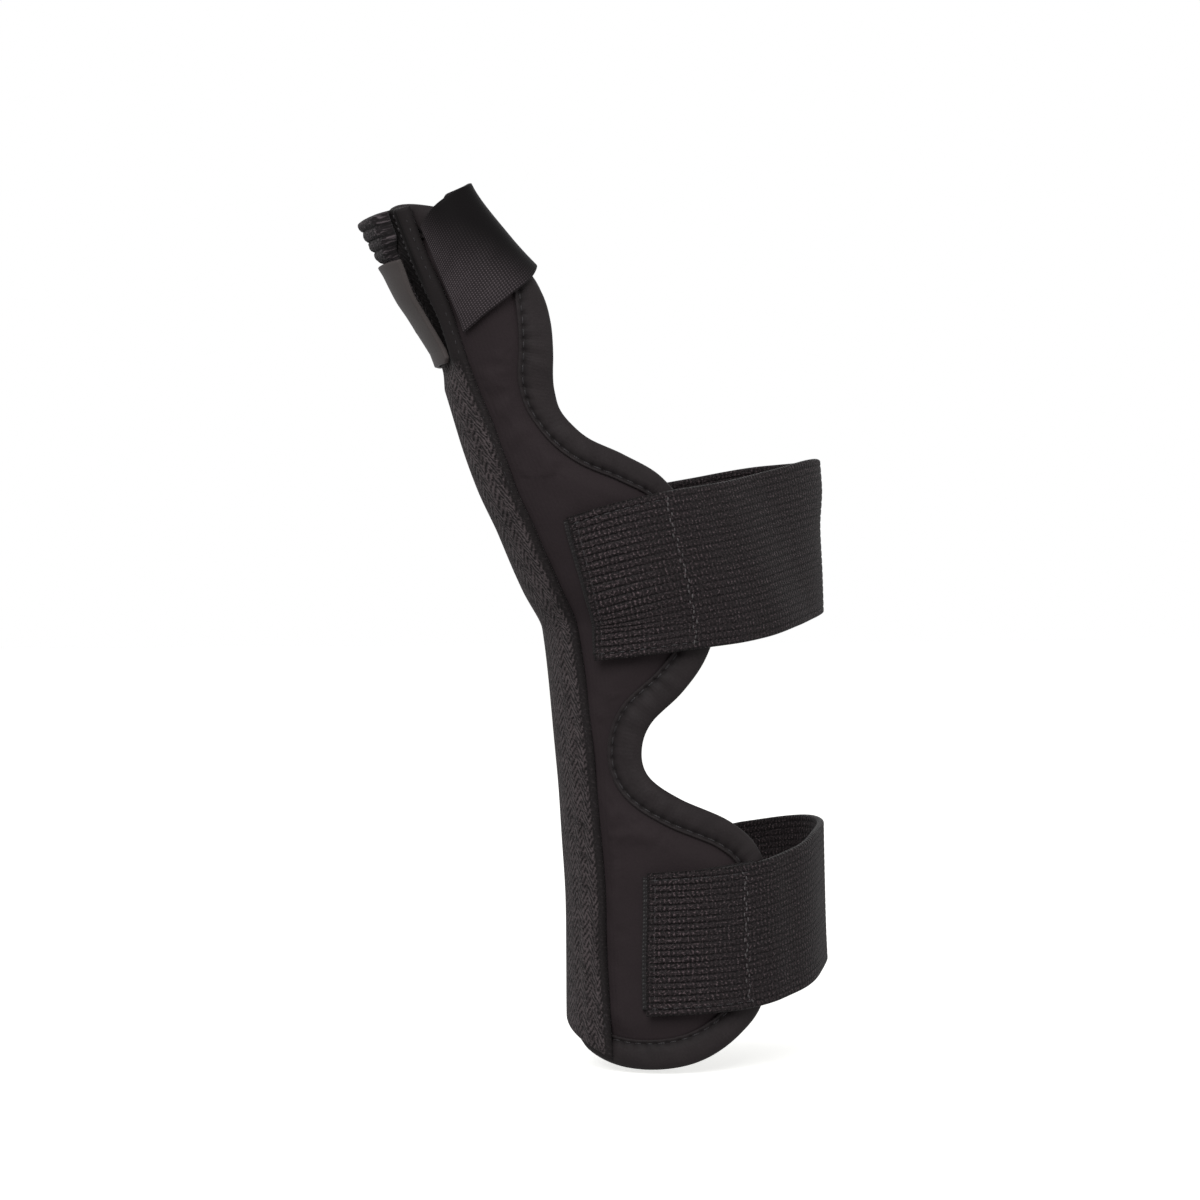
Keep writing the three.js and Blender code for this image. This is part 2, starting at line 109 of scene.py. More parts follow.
# Centre lines of the straps: share of the strap's run, height as a share of HEIGHT.
WRIST_PATH = np.array([
    (0, -0.006), (0.12, 0.007), (0.24, 0.0185), (0.35, 0.0345), (0.5, 0.0505), (0.6, 0.046),
    (0.72, 0.031), (0.83, 0.0155), (1, 0),
])
FOREARM_PATH = np.array([
    (0, -0.398), (0.14, -0.393), (0.24, -0.382), (0.31, -0.372), (0.38, -0.361), (0.53, -0.35),
    (0.68, -0.361), (0.75, -0.372), (0.82, -0.382), (1, -0.397),
])
THUMB_PATH = np.array([
    (0, 0.328), (0.1, 0.346), (0.21, 0.36), (0.37, 0.37), (0.53, 0.371), (0.68, 0.362),
    (0.8, 0.345), (1, 0.304),
])


def linear(colour):
    """sRGB hex to linear red, green, blue and alpha."""
    parts = [int(colour[i:i + 2], 16) / 255 for i in (1, 3, 5)]
    return tuple(c / 12.92 if c <= 0.04045 else ((c + 0.055) / 1.055) ** 2.4 for c in parts) + (1.0,)


def length_property(name, text, default_mm):
    return bpy.props.FloatProperty(
        name=name, description=text, default=default_mm * MM, min=0, unit="LENGTH", precision=5)


def colour_property(name, text, colour):
    return bpy.props.FloatVectorProperty(
        name=name, description=text, default=linear(colour), size=4, min=0, max=1, subtype="COLOR")


class SPLINT_cloth(bpy.types.PropertyGroup):
    """Padded panels, their binding and the band over the seam."""

    panel_height: length_property("Panel height", "Outer face of the padding above the hollow", 3.75)
    panel_pinch: length_property("Panel pinch", "Height of the padding at the stitch line", 2.75)
    binding_width: length_property("Binding width", "Bound edge seen from outside", 7)
    binding_wall: length_property("Binding wall", "Thickness of the binding cloth", 0.7)
    stitch_inset: length_property("Stitch inset", "From the outer edge to the stitch line", 6.2)
    pucker: length_property("Pucker", "Depth of the puckers at the needle holes", 0.5)
    sleeve_rise: length_property("Band rise", "Height of the domed band at its middle", 2.3)
    sleeve_edge: length_property("Band edge", "Thickness of the band at its sides", 1.0)


class SPLINT_straps(bpy.types.PropertyGroup):
    """Elastic straps."""

    wrist_width: length_property("Wrist strap width", "Width of the wrist strap", 38)
    forearm_width: length_property("Forearm strap width", "Width of the forearm strap", 34)
    thumb_width: length_property("Thumb strap width", "Width of the thumb strap", 28)
    thickness: length_property("Elastic thickness", "Thickness of the ribbed elastic", 1.8)
    thumb_thickness: length_property("Thumb elastic thickness", "Thickness of the thumb strap", 1.6)
    rib_count: bpy.props.IntProperty(
        name="Ribs", description="Ribs across each wide strap", default=22, min=4, max=40)
    rib_height: length_property("Rib height", "Depth of the grooves between the ribs", 0.42)


class SPLINT_stitches(bpy.types.PropertyGroup):
    """Sewing thread."""

    pitch: length_property("Stitch pitch", "Distance from one stitch to the next", 2.8)
    length: length_property("Stitch length", "Thread showing in each stitch", 1.8)
    thread: length_property("Thread thickness", "Thickness of the thread", 0.4)
    seed: bpy.props.IntProperty(name="Seed", description="Seed of the stitches' unevenness", default=7)


class SPLINT_colours(bpy.types.PropertyGroup):
    """Colours of the cloths."""

    panel: colour_property("Panel", "Laminated knit of the panels", "#2f282a")
    binding: colour_property("Binding", "Stretch binding", "#2c2728")
    webbing: colour_property("Webbing", "Herringbone band", "#383233")
    elastic: colour_property("Elastic", "Ribbed elastic", "#342c2e")
    fine_elastic: colour_property("Fine elastic", "Woven elastic of the thumb strap", "#332e30")
    hook: colour_property("Hook tape", "Hook patches", "#252223")
    pile: colour_property("Loop pile", "Loop strip on the thumb", "#332e30")
    tab: colour_property("Tab", "Coated backing of the closing tab", "#4a4443")
    thread: colour_property("Thread", "Sewing thread", "#322f31")
    worn_thread: colour_property("Worn thread", "Thread of the strap ends, rubbed light", "#524e4f")


class SPLINT_studio(bpy.types.PropertyGroup):
    """Stage round the splint."""

    floor: colour_property("Floor", "Pale floor", "#f4f4f2")
    floor_drop: length_property("Floor drop", "Floor below the lowest cloth", 1.0)
    key_power: bpy.props.FloatProperty(
        name="Key light", description="Power of the large soft light", default=9, min=0, unit="POWER")
    fill_power: bpy.props.FloatProperty(
        name="Fill light", description="Power of the light from the other side", default=2.5, min=0,
        unit="POWER")
    back_power: bpy.props.FloatProperty(
        name="Back light", description="Power of the light behind the splint", default=1.2, min=0,
        unit="POWER")
    ambient: bpy.props.FloatProperty(
        name="Ambient", description="Even light from all round", default=0.4, min=0)
    floor_glow: bpy.props.FloatProperty(
        name="Floor glow", description="Light of the white sweep under the splint", default=0.75, min=0)
    lens: bpy.props.FloatProperty(
        name="Lens", description="Focal length in millimetres", default=92.4, min=10, unit="CAMERA")


# Surface of the hollow. Everything is placed by s, the length round from the seam toward the back
# of the hand, the height z, and a distance out, all in millimetres.
RING_STEPS = 180
RING_PITCH = 0.5


def mix(a, b, t):
    return a + (b - a) * t


def smooth(x):
    t = np.clip(x, 0, 1)
    return t * t * (3 - 2 * t)


def follow(rows, column, x):
    """Smooth curve through a column of table rows that never overshoots them."""
    keys, values = rows[:, 0], rows[:, column]
    steps = np.diff(values) / np.diff(keys)
    before, after = steps[:-1], steps[1:]
    same_way = before * after > 0
    total = np.where(same_way, before + after, 1)
    turn = np.concatenate([steps[:1], np.where(same_way, 2 * before * after / total, 0), steps[-1:]])
    x = np.clip(x, keys[0], keys[-1])
    i = np.clip(np.searchsorted(keys, x, side="right") - 1, 0, len(keys) - 2)
    span = keys[i + 1] - keys[i]
    t = (x - keys[i]) / span
    ends = (2 * t**3 - 3 * t**2 + 1) * values[i] + (3 * t**2 - 2 * t**3) * values[i + 1]
    bend = (t**3 - 2 * t**2 + t) * turn[i] + (t**3 - t**2) * turn[i + 1]
    return ends + bend * span


def ring_point(z, turn):
    """Point of the section at height z, turn steps round from the seam."""
    share = z / HEIGHT
    radial = follow(SECTIONS, 1, share) * WRIST_WIDTH
    ulnar = follow(SECTIONS, 2, share) * WRIST_WIDTH
    depth = follow(SECTIONS, 3, share) * WRIST_DEPTH / 2
    crown = mix(radial, ulnar, follow(SECTIONS, 4, share))
    drift = follow(SECTIONS, 5, share) * WRIST_DEPTH / 2
    angle = np.radians(follow(SECTIONS, 6, share)) + turn * (math.tau / RING_STEPS)
    reach = np.where(np.cos(angle) > 0, crown - radial, ulnar - crown)
    return np.stack([crown - reach * np.cos(angle), drift - depth * np.sin(angle), z], -1)


def ring_lengths():
    """Heights, and at each the running length round the section."""
    heights = np.arange(SECTIONS[0, 0] * HEIGHT, SECTIONS[-1, 0] * HEIGHT, RING_PITCH)
    z, turn = np.meshgrid(heights, np.arange(RING_STEPS + 1), indexing="ij")
    steps = np.linalg.norm(np.diff(ring_point(z, turn), axis=1), axis=2)
    return heights, np.concatenate([np.zeros((len(heights), 1)), np.cumsum(steps, axis=1)], axis=1)


RING_HEIGHTS, RING_LENGTHS = ring_lengths()


def girth(z):
    return np.interp(z, RING_HEIGHTS, RING_LENGTHS[:, -1])


def skin(s, z):
    """Points of the hollow."""
    s, z = np.broadcast_arrays(np.asarray(s, float), np.asarray(z, float))
    place = np.clip((z - RING_HEIGHTS[0]) / RING_PITCH, 0, len(RING_HEIGHTS) - 1.001)
    row = place.astype(int)
    part = place - row
    length = np.mod(s, girth(z))

    def at(step):
        return mix(RING_LENGTHS[row, step], RING_LENGTHS[row + 1, step], part)

    low = np.zeros(s.shape, int)
    high = np.full(s.shape, RING_STEPS)
    for _ in range(RING_STEPS.bit_length()):
        middle = (low + high) // 2
        below = (at(middle) <= length) & (middle > low)
        low = np.where(below, middle, low)
        high = np.where(below | (middle == low), high, middle)
    low = np.minimum(low, RING_STEPS - 1)
    return ring_point(z, low + (length - at(low)) / (at(low + 1) - at(low)))


def outward(s, z):
    """Directions out of the hollow."""
    reach = 0.6
    normal = np.cross(skin(s + reach, z) - skin(s - reach, z), skin(s, z + reach) - skin(s, z - reach))
    return normal / np.linalg.norm(normal, axis=-1, keepdims=True)


def surface(s, z, out):
    s, z, out = np.broadcast_arrays(s, z, out)
    return skin(s, z) + outward(s, z) * out[..., None]


def ripples(u, v, size, seed, waves=9):
    """Seeded unevenness of cloth, about -1 to 1, whose waves are about size long."""
    rng = np.random.default_rng(seed)
    total = np.zeros(np.broadcast(u, v).shape)
    for way, pitch, phase in rng.uniform((0, 0.65, 0), (math.tau, 1.5, math.tau), (waves, 3)):
        total += np.sin((u * math.cos(way) + v * math.sin(way)) * math.tau / (size * pitch) + phase)
    return total / math.sqrt(waves)


# Meshes.

def new_mesh(name, points, faces, corner_uv=None, attributes=None):
    """Object of four-sided faces from points in millimetres, with a UV map in metres."""
    mesh = bpy.data.meshes.new(name)
    mesh.from_pydata((points * MM).tolist(), [], faces.tolist())
    if corner_uv is not None:
        layer = mesh.uv_layers.new(name="Cloth")
        layer.data.foreach_set("uv", (corner_uv * MM).astype(np.float32).ravel())
    for key, values in (attributes or {}).items():
        attribute = mesh.attributes.new(key, "FLOAT", "POINT")
        attribute.data.foreach_set("value", np.asarray(values, np.float32).ravel())
    mesh.shade_smooth()
    made = bpy.data.objects.new(name, mesh)
    bpy.context.scene.collection.objects.link(made)
    return made


def dress(made, material, nodes=()):
    """Gives a finished piece its material, and puts it on the frame in place of its CAD nodes."""
    made.data.materials.clear()
    made.data.materials.append(material)
    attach(made, ROOT)
    if nodes:
        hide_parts(*nodes)


def grid_faces(index):
    """Faces between the points of a grid of point numbers."""
    corners = [index[:-1, :-1], index[:-1, 1:], index[1:, 1:], index[1:, :-1]]
    return np.stack(corners, -1).reshape(-1, 4)


def walls(index, shift):
    """Side faces of a slab whose outer points form the grid index and whose inner ones lie shift on."""
    rim = np.concatenate([index[0, :], index[1:, -1], index[-1, -2::-1], index[-2:0:-1, 0]])
    after = np.roll(rim, -1)
    return np.stack([after, rim, rim + shift, after + shift], -1)


def slab(name, s, z, inner, outer, u, v, attributes=None):
    """Closed sheet over a grid of s (columns) and z (rows) from inner to outer. u and v are the
    cloth's own lengths along and across."""
    s, z, inner, outer, u, v = np.broadcast_arrays(s, z, inner, outer, u, v)
    points = np.concatenate([surface(s, z, outer).reshape(-1, 3), surface(s, z, inner).reshape(-1, 3)])
    index = np.arange(s.size).reshape(s.shape)
    upper = grid_faces(index)
    faces = np.concatenate([upper, upper[:, ::-1] + s.size, walls(index, s.size)])
    uv = np.tile(np.stack([u.ravel(), v.ravel()], -1), (2, 1))
    data = {key: np.concatenate([value.ravel(), value.ravel()]) for key, value in
            (attributes or {}).items()}
    data["outer"] = np.repeat([1.0, 0.0], s.size)
    return new_mesh(name, points, faces, uv[faces], data)


def rounding(distance, radius):
    """Share of the full thickness at a distance from a soft edge."""
    t = 1 - np.clip(distance / radius, 0, 1)
    return np.maximum(np.sqrt(np.maximum(1 - t**2, 0)), 0.22)


def edged(length, steps, radius):
    """Positions along a length, close together at both ends."""
    close = np.array([0, 0.08, 0.25, 0.55]) * radius
    middle = np.linspace(radius, length - radius, steps)
    return np.concatenate([close, middle, length - close[::-1]])


def border_distance(length, width, along, across):
    """Distance from the nearest side of a rectangle, where along and across are positions in it."""
    return np.minimum(np.minimum(along, length - along), np.minimum(across, width - across))


# Geometry Nodes.

def add(tree, kind, *inputs, out=0, **settings):
    """Adds a node with its settings and gives its output. inputs are values or other nodes'
    outputs, in order or in one dict by name. A plain kind is a shader node, and a second word is
    its operation."""
    kind, _, operation = kind.partition(" ")
    made = tree.nodes.new(kind if "Node" in kind else "ShaderNode" + kind)
    if operation:
        made.operation = operation
    for key, value in settings.items():
        setattr(made, key, value)
    given = inputs[0] if inputs and isinstance(inputs[0], dict) else dict(enumerate(inputs))
    for key, value in given.items():
        if isinstance(value, bpy.types.NodeSocket):
            tree.links.new(value, made.inputs[key])
        else:
            made.inputs[key].default_value = value
    return made.outputs[out]


def node_tree(name, inputs):
    """Empty geometry tree with named inputs, each (name, socket type, default)."""
    tree = bpy.data.node_groups.new(name, "GeometryNodeTree")
    tree.interface.new_socket("Geometry", in_out="INPUT", socket_type="NodeSocketGeometry")
    for label, kind, value in inputs:
        socket = tree.interface.new_socket(label, in_out="INPUT", socket_type=kind)
        if value is not None:
            socket.default_value = value
    tree.interface.new_socket("Geometry", in_out="OUTPUT", socket_type="NodeSocketGeometry")
    return tree, tree.nodes.new("NodeGroupInput").outputs, tree.nodes.new("NodeGroupOutput").inputs


def finish_tree(tree, geometry, material, end):
    """Ends a tree in Realize Instances and Set Material."""
    real = add(tree, "GeometryNodeRealizeInstances", geometry)
    painted = add(tree, "GeometryNodeSetMaterial", {"Geometry": real, "Material": material})
    tree.links.new(painted, end["Geometry"])


def apply_tree(made, tree, values):
    """Runs a tree on an object and leaves the result as its plain mesh."""
    modifier = made.modifiers.new(tree.name, "NODES")
    modifier.node_group = tree
    for item in tree.interface.items_tree:
        if item.in_out == "INPUT" and item.name in values:
            modifier[item.identifier] = values[item.name]
    evaluated = made.evaluated_get(bpy.context.evaluated_depsgraph_get())
    result = bpy.data.meshes.new_from_object(evaluated)
    made.modifiers.clear()
    made.data = result
    result.name = made.name


def stitch_tree():
    """Thread stitches along lines whose points hold the cloth's outward direction."""
    name = "Sewn line"
    if name in bpy.data.node_groups:
        return bpy.data.node_groups[name]
    tree, given, end = node_tree(name, [
        ("Pitch", "NodeSocketFloat", 2.8 * MM), ("Length", "NodeSocketFloat", 2.1 * MM),
        ("Thickness", "NodeSocketFloat", 0.42 * MM), ("Unevenness", "NodeSocketFloat", 0.12),
        ("Seed", "NodeSocketInt", 7), ("Material", "NodeSocketMaterial", None)])
    curve = add(tree, "GeometryNodeMeshToCurve", given["Geometry"])
    spaced = add(tree, "GeometryNodeResampleCurve", {"Curve": curve, "Length": given["Pitch"]},
                 mode="LENGTH")
    along = add(tree, "GeometryNodeInputTangent")
    out = add(tree, "GeometryNodeInputNamedAttribute", {"Name": "out"}, data_type="FLOAT_VECTOR")
    turned = add(tree, "FunctionNodeAxesToRotation", {"Primary Axis": out, "Secondary Axis": along},
                 primary_axis="Z", secondary_axis="X")
    thread = add(tree, "GeometryNodeMeshUVSphere", {"Segments": 8, "Rings": 6, "Radius": 0.5})
    size = add(tree, "CombineXYZ", given["Length"], given["Thickness"], given["Thickness"])
    low = add(tree, "Math SUBTRACT", 1, given["Unevenness"])
    high = add(tree, "Math ADD", 1, given["Unevenness"])
    uneven = add(tree, "FunctionNodeRandomValue", {2: low, 3: high, "Seed": given["Seed"]}, out=1,
                 data_type="FLOAT")
    scale = add(tree, "VectorMath SCALE", {0: size, "Scale": uneven})
    placed = add(tree, "GeometryNodeInstanceOnPoints",
                 {"Points": spaced, "Instance": thread, "Rotation": turned, "Scale": scale})
    finish_tree(tree, placed, given["Material"], end)
    return tree


def rib_tree():
    """Ribs along a strap: grooves are pressed in where the share across it falls between two ribs."""
    name = "Ribbed elastic"
    if name in bpy.data.node_groups:
        return bpy.data.node_groups[name]
    tree, given, end = node_tree(name, [
        ("Ribs", "NodeSocketFloat", 22.0), ("Depth", "NodeSocketFloat", 0.42 * MM),
        ("Material", "NodeSocketMaterial", None)])
    share, strength = (
        add(tree, "GeometryNodeInputNamedAttribute", {"Name": label}, data_type="FLOAT")
        for label in ("across_share", "rib_share"))
    place = add(tree, "Math FRACT", add(tree, "Math MULTIPLY", share, given["Ribs"]))
    middle = add(tree, "Math SUBTRACT", place, 0.5)
    side = add(tree, "Math ABSOLUTE", add(tree, "Math MULTIPLY", middle, 2))
    groove = add(tree, "Math MULTIPLY", add(tree, "Math POWER", side, 5), -1)
    press = add(tree, "Math MULTIPLY", groove, strength)
    depth = add(tree, "Math MULTIPLY", press, given["Depth"])
    normal = add(tree, "GeometryNodeInputNormal")
    offset = add(tree, "VectorMath SCALE", {0: normal, "Scale": depth})
    moved = add(tree, "GeometryNodeSetPosition", {"Geometry": given["Geometry"], "Offset": offset})
    finish_tree(tree, moved, given["Material"], end)
    return tree


def sewn(name, lines, material, pitch=None, length=None, thread=None, sink=0.0):
    """Stitches along lines, each (s, z, out) with out measured to the cloth's face."""
    sizes = bpy.context.scene.splint_stitches
    points, normals, edges = [], [], []
    for s, z, out in lines:
        start = sum(len(p) for p in points)
        points.append(surface(s, z, out - sink))
        normals.append(outward(s, z))
        edges += [(start + i, start + i + 1) for i in range(len(points[-1]) - 1)]
    mesh = bpy.data.meshes.new(name)
    mesh.from_pydata((np.concatenate(points) * MM).tolist(), edges, [])
    attribute = mesh.attributes.new("out", "FLOAT_VECTOR", "POINT")
    attribute.data.foreach_set("vector", np.concatenate(normals).astype(np.float32).ravel())
    made = bpy.data.objects.new(name, mesh)
    bpy.context.scene.collection.objects.link(made)
    apply_tree(made, stitch_tree(), {
        "Pitch": (pitch * MM) if pitch else sizes.pitch,
        "Length": (length * MM) if length else sizes.length,
        "Thickness": (thread * MM) if thread else sizes.thread,
        "Seed": sizes.seed, "Material": material})
    made.data.shade_smooth()
    dress(made, material)


# Materials.

def cloth_material(name, colour, roughness, sheen, gloss=0.12, sheen_roughness=0.4):
    """Principled cloth shader, with its tree, shader and UV output, ready for a pattern."""
    material = bpy.data.materials.new(name)
    material.use_nodes = True
    tree = material.node_tree
    shader = tree.nodes["Principled BSDF"]
    shader.inputs["Roughness"].default_value = roughness
    shader.inputs["IOR"].default_value = 1.5
    shader.inputs["Specular IOR Level"].default_value = gloss
    shader.inputs["Sheen Weight"].default_value = sheen
    shader.inputs["Sheen Roughness"].default_value = sheen_roughness
    shader.inputs["Base Color"].default_value = colour
    material.diffuse_color = colour
    return material, tree, shader, add(tree, "UVMap", uv_map="Cloth")


def tinted(colour, gain):
    """The colour made lighter or darker."""
    return tuple(min(1.0, c * gain) for c in colour[:3]) + (1.0,)


def sized(vector, pitch, **others):
    """Inputs of a texture whose pattern repeats about each pitch, in millimetres."""
    return {"Vector": vector, "Scale": 1 / (pitch * MM), **others}


def pattern(tree, shader, shade, gains, height, depth, strength):
    """Joins a pattern to a cloth shader: its colour, which a shade makes darker or lighter from the
    first gain to the second, and its relief, with its depth in millimetres."""
    dark, light = (tinted(shader.inputs["Base Color"].default_value, gain) for gain in gains)
    colour = add(tree, "Mix", {0: shade, 6: dark, 7: light}, out=2, data_type="RGBA")
    relief = add(tree, "Bump", {"Height": height, "Strength": strength, "Distance": depth * MM})
    tree.links.new(colour, shader.inputs["Base Color"])
    tree.links.new(relief, shader.inputs["Normal"])


def laminated_knit(colour):
    """Polyester tricot laminated to foam: matt and smooth, with wales 0.45 mm apart and a soft bloom.
    The wales are drawn 0.9 mm apart, which is as fine as the render shows."""
    material, tree, shader, uv = cloth_material("Laminated polyester tricot", colour, 0.75, 0.04)
    across = add(tree, "SeparateXYZ", uv, out="Y")
    wale = add(tree, "Math SINE", add(tree, "Math MULTIPLY", across, math.tau / (0.9 * MM)))
    grain = add(tree, "TexNoise", sized(uv, 0.7, Roughness=0.6))
    soft = add(tree, "TexNoise", sized(uv, 16, Detail=3.0, Roughness=0.55))
    shade = add(tree, "Math ADD", add(tree, "Math MULTIPLY", soft, 0.7),
                add(tree, "Math MULTIPLY", grain, 0.35))
    height = add(tree, "Math ADD", add(tree, "Math MULTIPLY", wale, 0.16), grain)
    pattern(tree, shader, shade, (0.72, 1.22), height, 0.09, 0.8)
    return material


def stretch_binding(colour):
    """Knitted stretch binding: slightly glossier than the panels, with fine cross ribs, and painted
    shade at the needle holes and along the valley by its stitch line."""
    material, tree, shader, uv = cloth_material("Knitted stretch binding", colour, 0.62, 0.04, 0.16)
    along = add(tree, "SeparateXYZ", uv, out="X")
    rib = add(tree, "Math SINE", add(tree, "Math MULTIPLY", along, math.tau / (0.8 * MM)))
    grain = add(tree, "TexNoise", sized(uv, 0.6, Roughness=0.6))
    soft = add(tree, "TexNoise", sized(uv, 7))
    # Painted shade at the needle holes and stitch valley: it darkens the colour and also sinks the
    # relief.
    hole = add(tree, "Attribute", out="Fac", attribute_name="needle_hole")
    shade = add(tree, "Math ADD", add(tree, "Math MULTIPLY", soft, 0.6),
                add(tree, "Math MULTIPLY", grain, 0.4))
    shade = add(tree, "Math MULTIPLY", shade, add(tree, "Math SUBTRACT", 1.0, hole))
    height = add(tree, "Math ADD", add(tree, "Math MULTIPLY", rib, 0.12), grain)
    height = add(tree, "Math SUBTRACT", height, add(tree, "Math MULTIPLY", hole, 2.0))
    pattern(tree, shader, shade, (0.45, 1.5), height, 0.08, 0.7)
    return material


def herringbone(colour):
    """Polyester herringbone tape: steep yarns 1.8 mm apart that slant back and forth every 1.3 mm
    across. The yarns' height is painted into the colour: dark between as painted shade and light on
    top as painted light, with the contrast varying in patches and small painted glints. Painted shade
    lies in the channel and groove at the thumb. Where the tape is rolled round a fold it looks plain."""
    material, tree, shader, uv = cloth_material("Herringbone polyester tape", colour, 0.66, 0.06, 0.16)
    along, across = (add(tree, "SeparateXYZ", uv, out=axis) for axis in "XY")
    drift = add(tree, "Math MULTIPLY", add(tree, "TexNoise", sized(uv, 4, Roughness=0.6)), 1.3 * MM)
    fold = add(tree, "Math PINGPONG", add(tree, "Math ADD", across, drift), 1.3 * MM)
    uneven = add(tree, "Math MULTIPLY",
                 add(tree, "TexNoise", sized(uv, 1.3, Detail=1.0, Roughness=0.6)), 0.7 * MM)
    slanted = add(tree, "Math ADD", add(tree, "Math ADD", along, drift),
                  add(tree, "Math MULTIPLY", fold, 2.6))
    slanted = add(tree, "Math ADD", slanted, uneven)
    yarn = add(tree, "Math SINE", add(tree, "Math MULTIPLY", slanted, math.tau / (1.8 * MM)))
    lift = add(tree, "Math MULTIPLY_ADD", yarn, 0.5, 0.5)
    fibre = add(tree, "TexNoise", sized(uv, 0.5, Detail=1.0, Roughness=0.7))
    rubbed = add(tree, "TexNoise", sized(uv, 2.5, Roughness=0.6))
    # Small painted glints where the fibre noise peaks.
    painted_glints = add(tree, "Math MAXIMUM", add(tree, "Math MULTIPLY_ADD", fibre, 8.0, -4.4), 0.0)
    # hollow is painted shade, from the band's mesh.
    hollow = add(tree, "Attribute", out="Fac", attribute_name="hollow_share")
    plain = add(tree, "Attribute", out="Fac", attribute_name="plain_share")
    woven = add(tree, "Math SUBTRACT", 1.0, plain)
    yarns = add(tree, "Math MULTIPLY", lift, add(tree, "Math MULTIPLY", woven, 0.8))
    fibres = add(tree, "Math MULTIPLY", fibre, add(tree, "Math MULTIPLY_ADD", woven, 0.8, 0.2))
    height = add(tree, "Math ADD", yarns, fibres)
    # Painted light and shade on the yarns: light where they are high, dark between; rubbed varies that
    # contrast in patches.
    shade = add(tree, "Math MAXIMUM", add(tree, "Math MULTIPLY_ADD", height, 1.5, -0.5), 0.0)
    shade = add(tree, "Math MULTIPLY", shade, add(tree, "Math MULTIPLY_ADD", rubbed, 1.5, -0.24))
    shade = add(tree, "Math ADD", shade,
                add(tree, "Math MULTIPLY", woven, add(tree, "Math MULTIPLY", painted_glints, 0.62)))
    shade = add(tree, "Math ADD", shade, add(tree, "Math MULTIPLY", plain, 0.14))
    shade = add(tree, "Math MULTIPLY", shade, add(tree, "Math SUBTRACT", 1.0, hollow))
    pattern(tree, shader, shade, (0.1, 2.3), height, 0.3, 0.9)
    return material


def ribbed_elastic(colour):
    """Woven rib elastic: flat ribs with narrow grooves painted dark as shade, crossed by beads of yarn
    1 mm apart whose tops are painted lighter as lit, with small painted glints on top."""
    material, tree, shader, uv = cloth_material("Woven rib elastic", colour, 0.55, 0.05, 0.18)
    along = add(tree, "SeparateXYZ", uv, out="X")
    rib = add(tree, "Attribute", out="Fac", attribute_name="across_share")
    strong = add(tree, "Attribute", out="Fac", attribute_name="rib_share")
    ribs = add(tree, "Math MULTIPLY", rib, bpy.context.scene.splint_straps.rib_count)
    place = add(tree, "Math SUBTRACT", add(tree, "Math FRACT", ribs), 0.5)
    side = add(tree, "Math ABSOLUTE", add(tree, "Math MULTIPLY", place, 2.0))
    groove = add(tree, "Math POWER", side, 3.2)
    groove = add(tree, "Math MULTIPLY", groove, add(tree, "Math MULTIPLY_ADD", strong, 0.5, 0.5))
    uneven = add(tree, "TexNoise", sized(uv, 2.5))
    beads = add(tree, "Math ADD", add(tree, "Math DIVIDE", along, 1.0 * MM),
                add(tree, "Math MULTIPLY", place, 0.2))
    beads = add(tree, "Math ADD", beads, add(tree, "Math MULTIPLY", uneven, 0.8))
    bead = add(tree, "Math MULTIPLY_ADD",
               add(tree, "Math SINE", add(tree, "Math MULTIPLY", beads, math.tau)), 0.5, 0.5)
    fibre = add(tree, "TexNoise", sized(uv, 0.5, Detail=1.0, Roughness=0.7))
    # Small painted glints where the fibre noise peaks; pits are random dark spots.
    painted_glint = add(tree, "Math MAXIMUM", add(tree, "Math MULTIPLY_ADD", fibre, 8.0, -4.3), 0.0)
    pit = add(tree, "Math MAXIMUM", add(tree, "Math MULTIPLY_ADD", fibre, -6.0, 2.6), 0.0)
    # Painted light and shade on the relief: bead tops lighter, grooves dark.
    top = add(tree, "Math MULTIPLY", add(tree, "Math MULTIPLY_ADD", bead, 0.65, 0.35),
              add(tree, "Math SUBTRACT", 1.0, groove))
    shade = add(tree, "Math MULTIPLY", top, add(tree, "Math MULTIPLY_ADD", painted_glint, 0.9, 0.2))
    shade = add(tree, "Math MAXIMUM", add(tree, "Math MULTIPLY_ADD", pit, -0.12, shade), 0.0)
    shade = add(tree, "Math MULTIPLY", shade, add(tree, "Math MULTIPLY_ADD", strong, 0.55, 0.47))
    height = add(tree, "Math ADD", add(tree, "Math MULTIPLY", top, 0.7), fibre)
    pattern(tree, shader, shade, (0.1, 3.6), height, 0.36, 0.9)
    return material


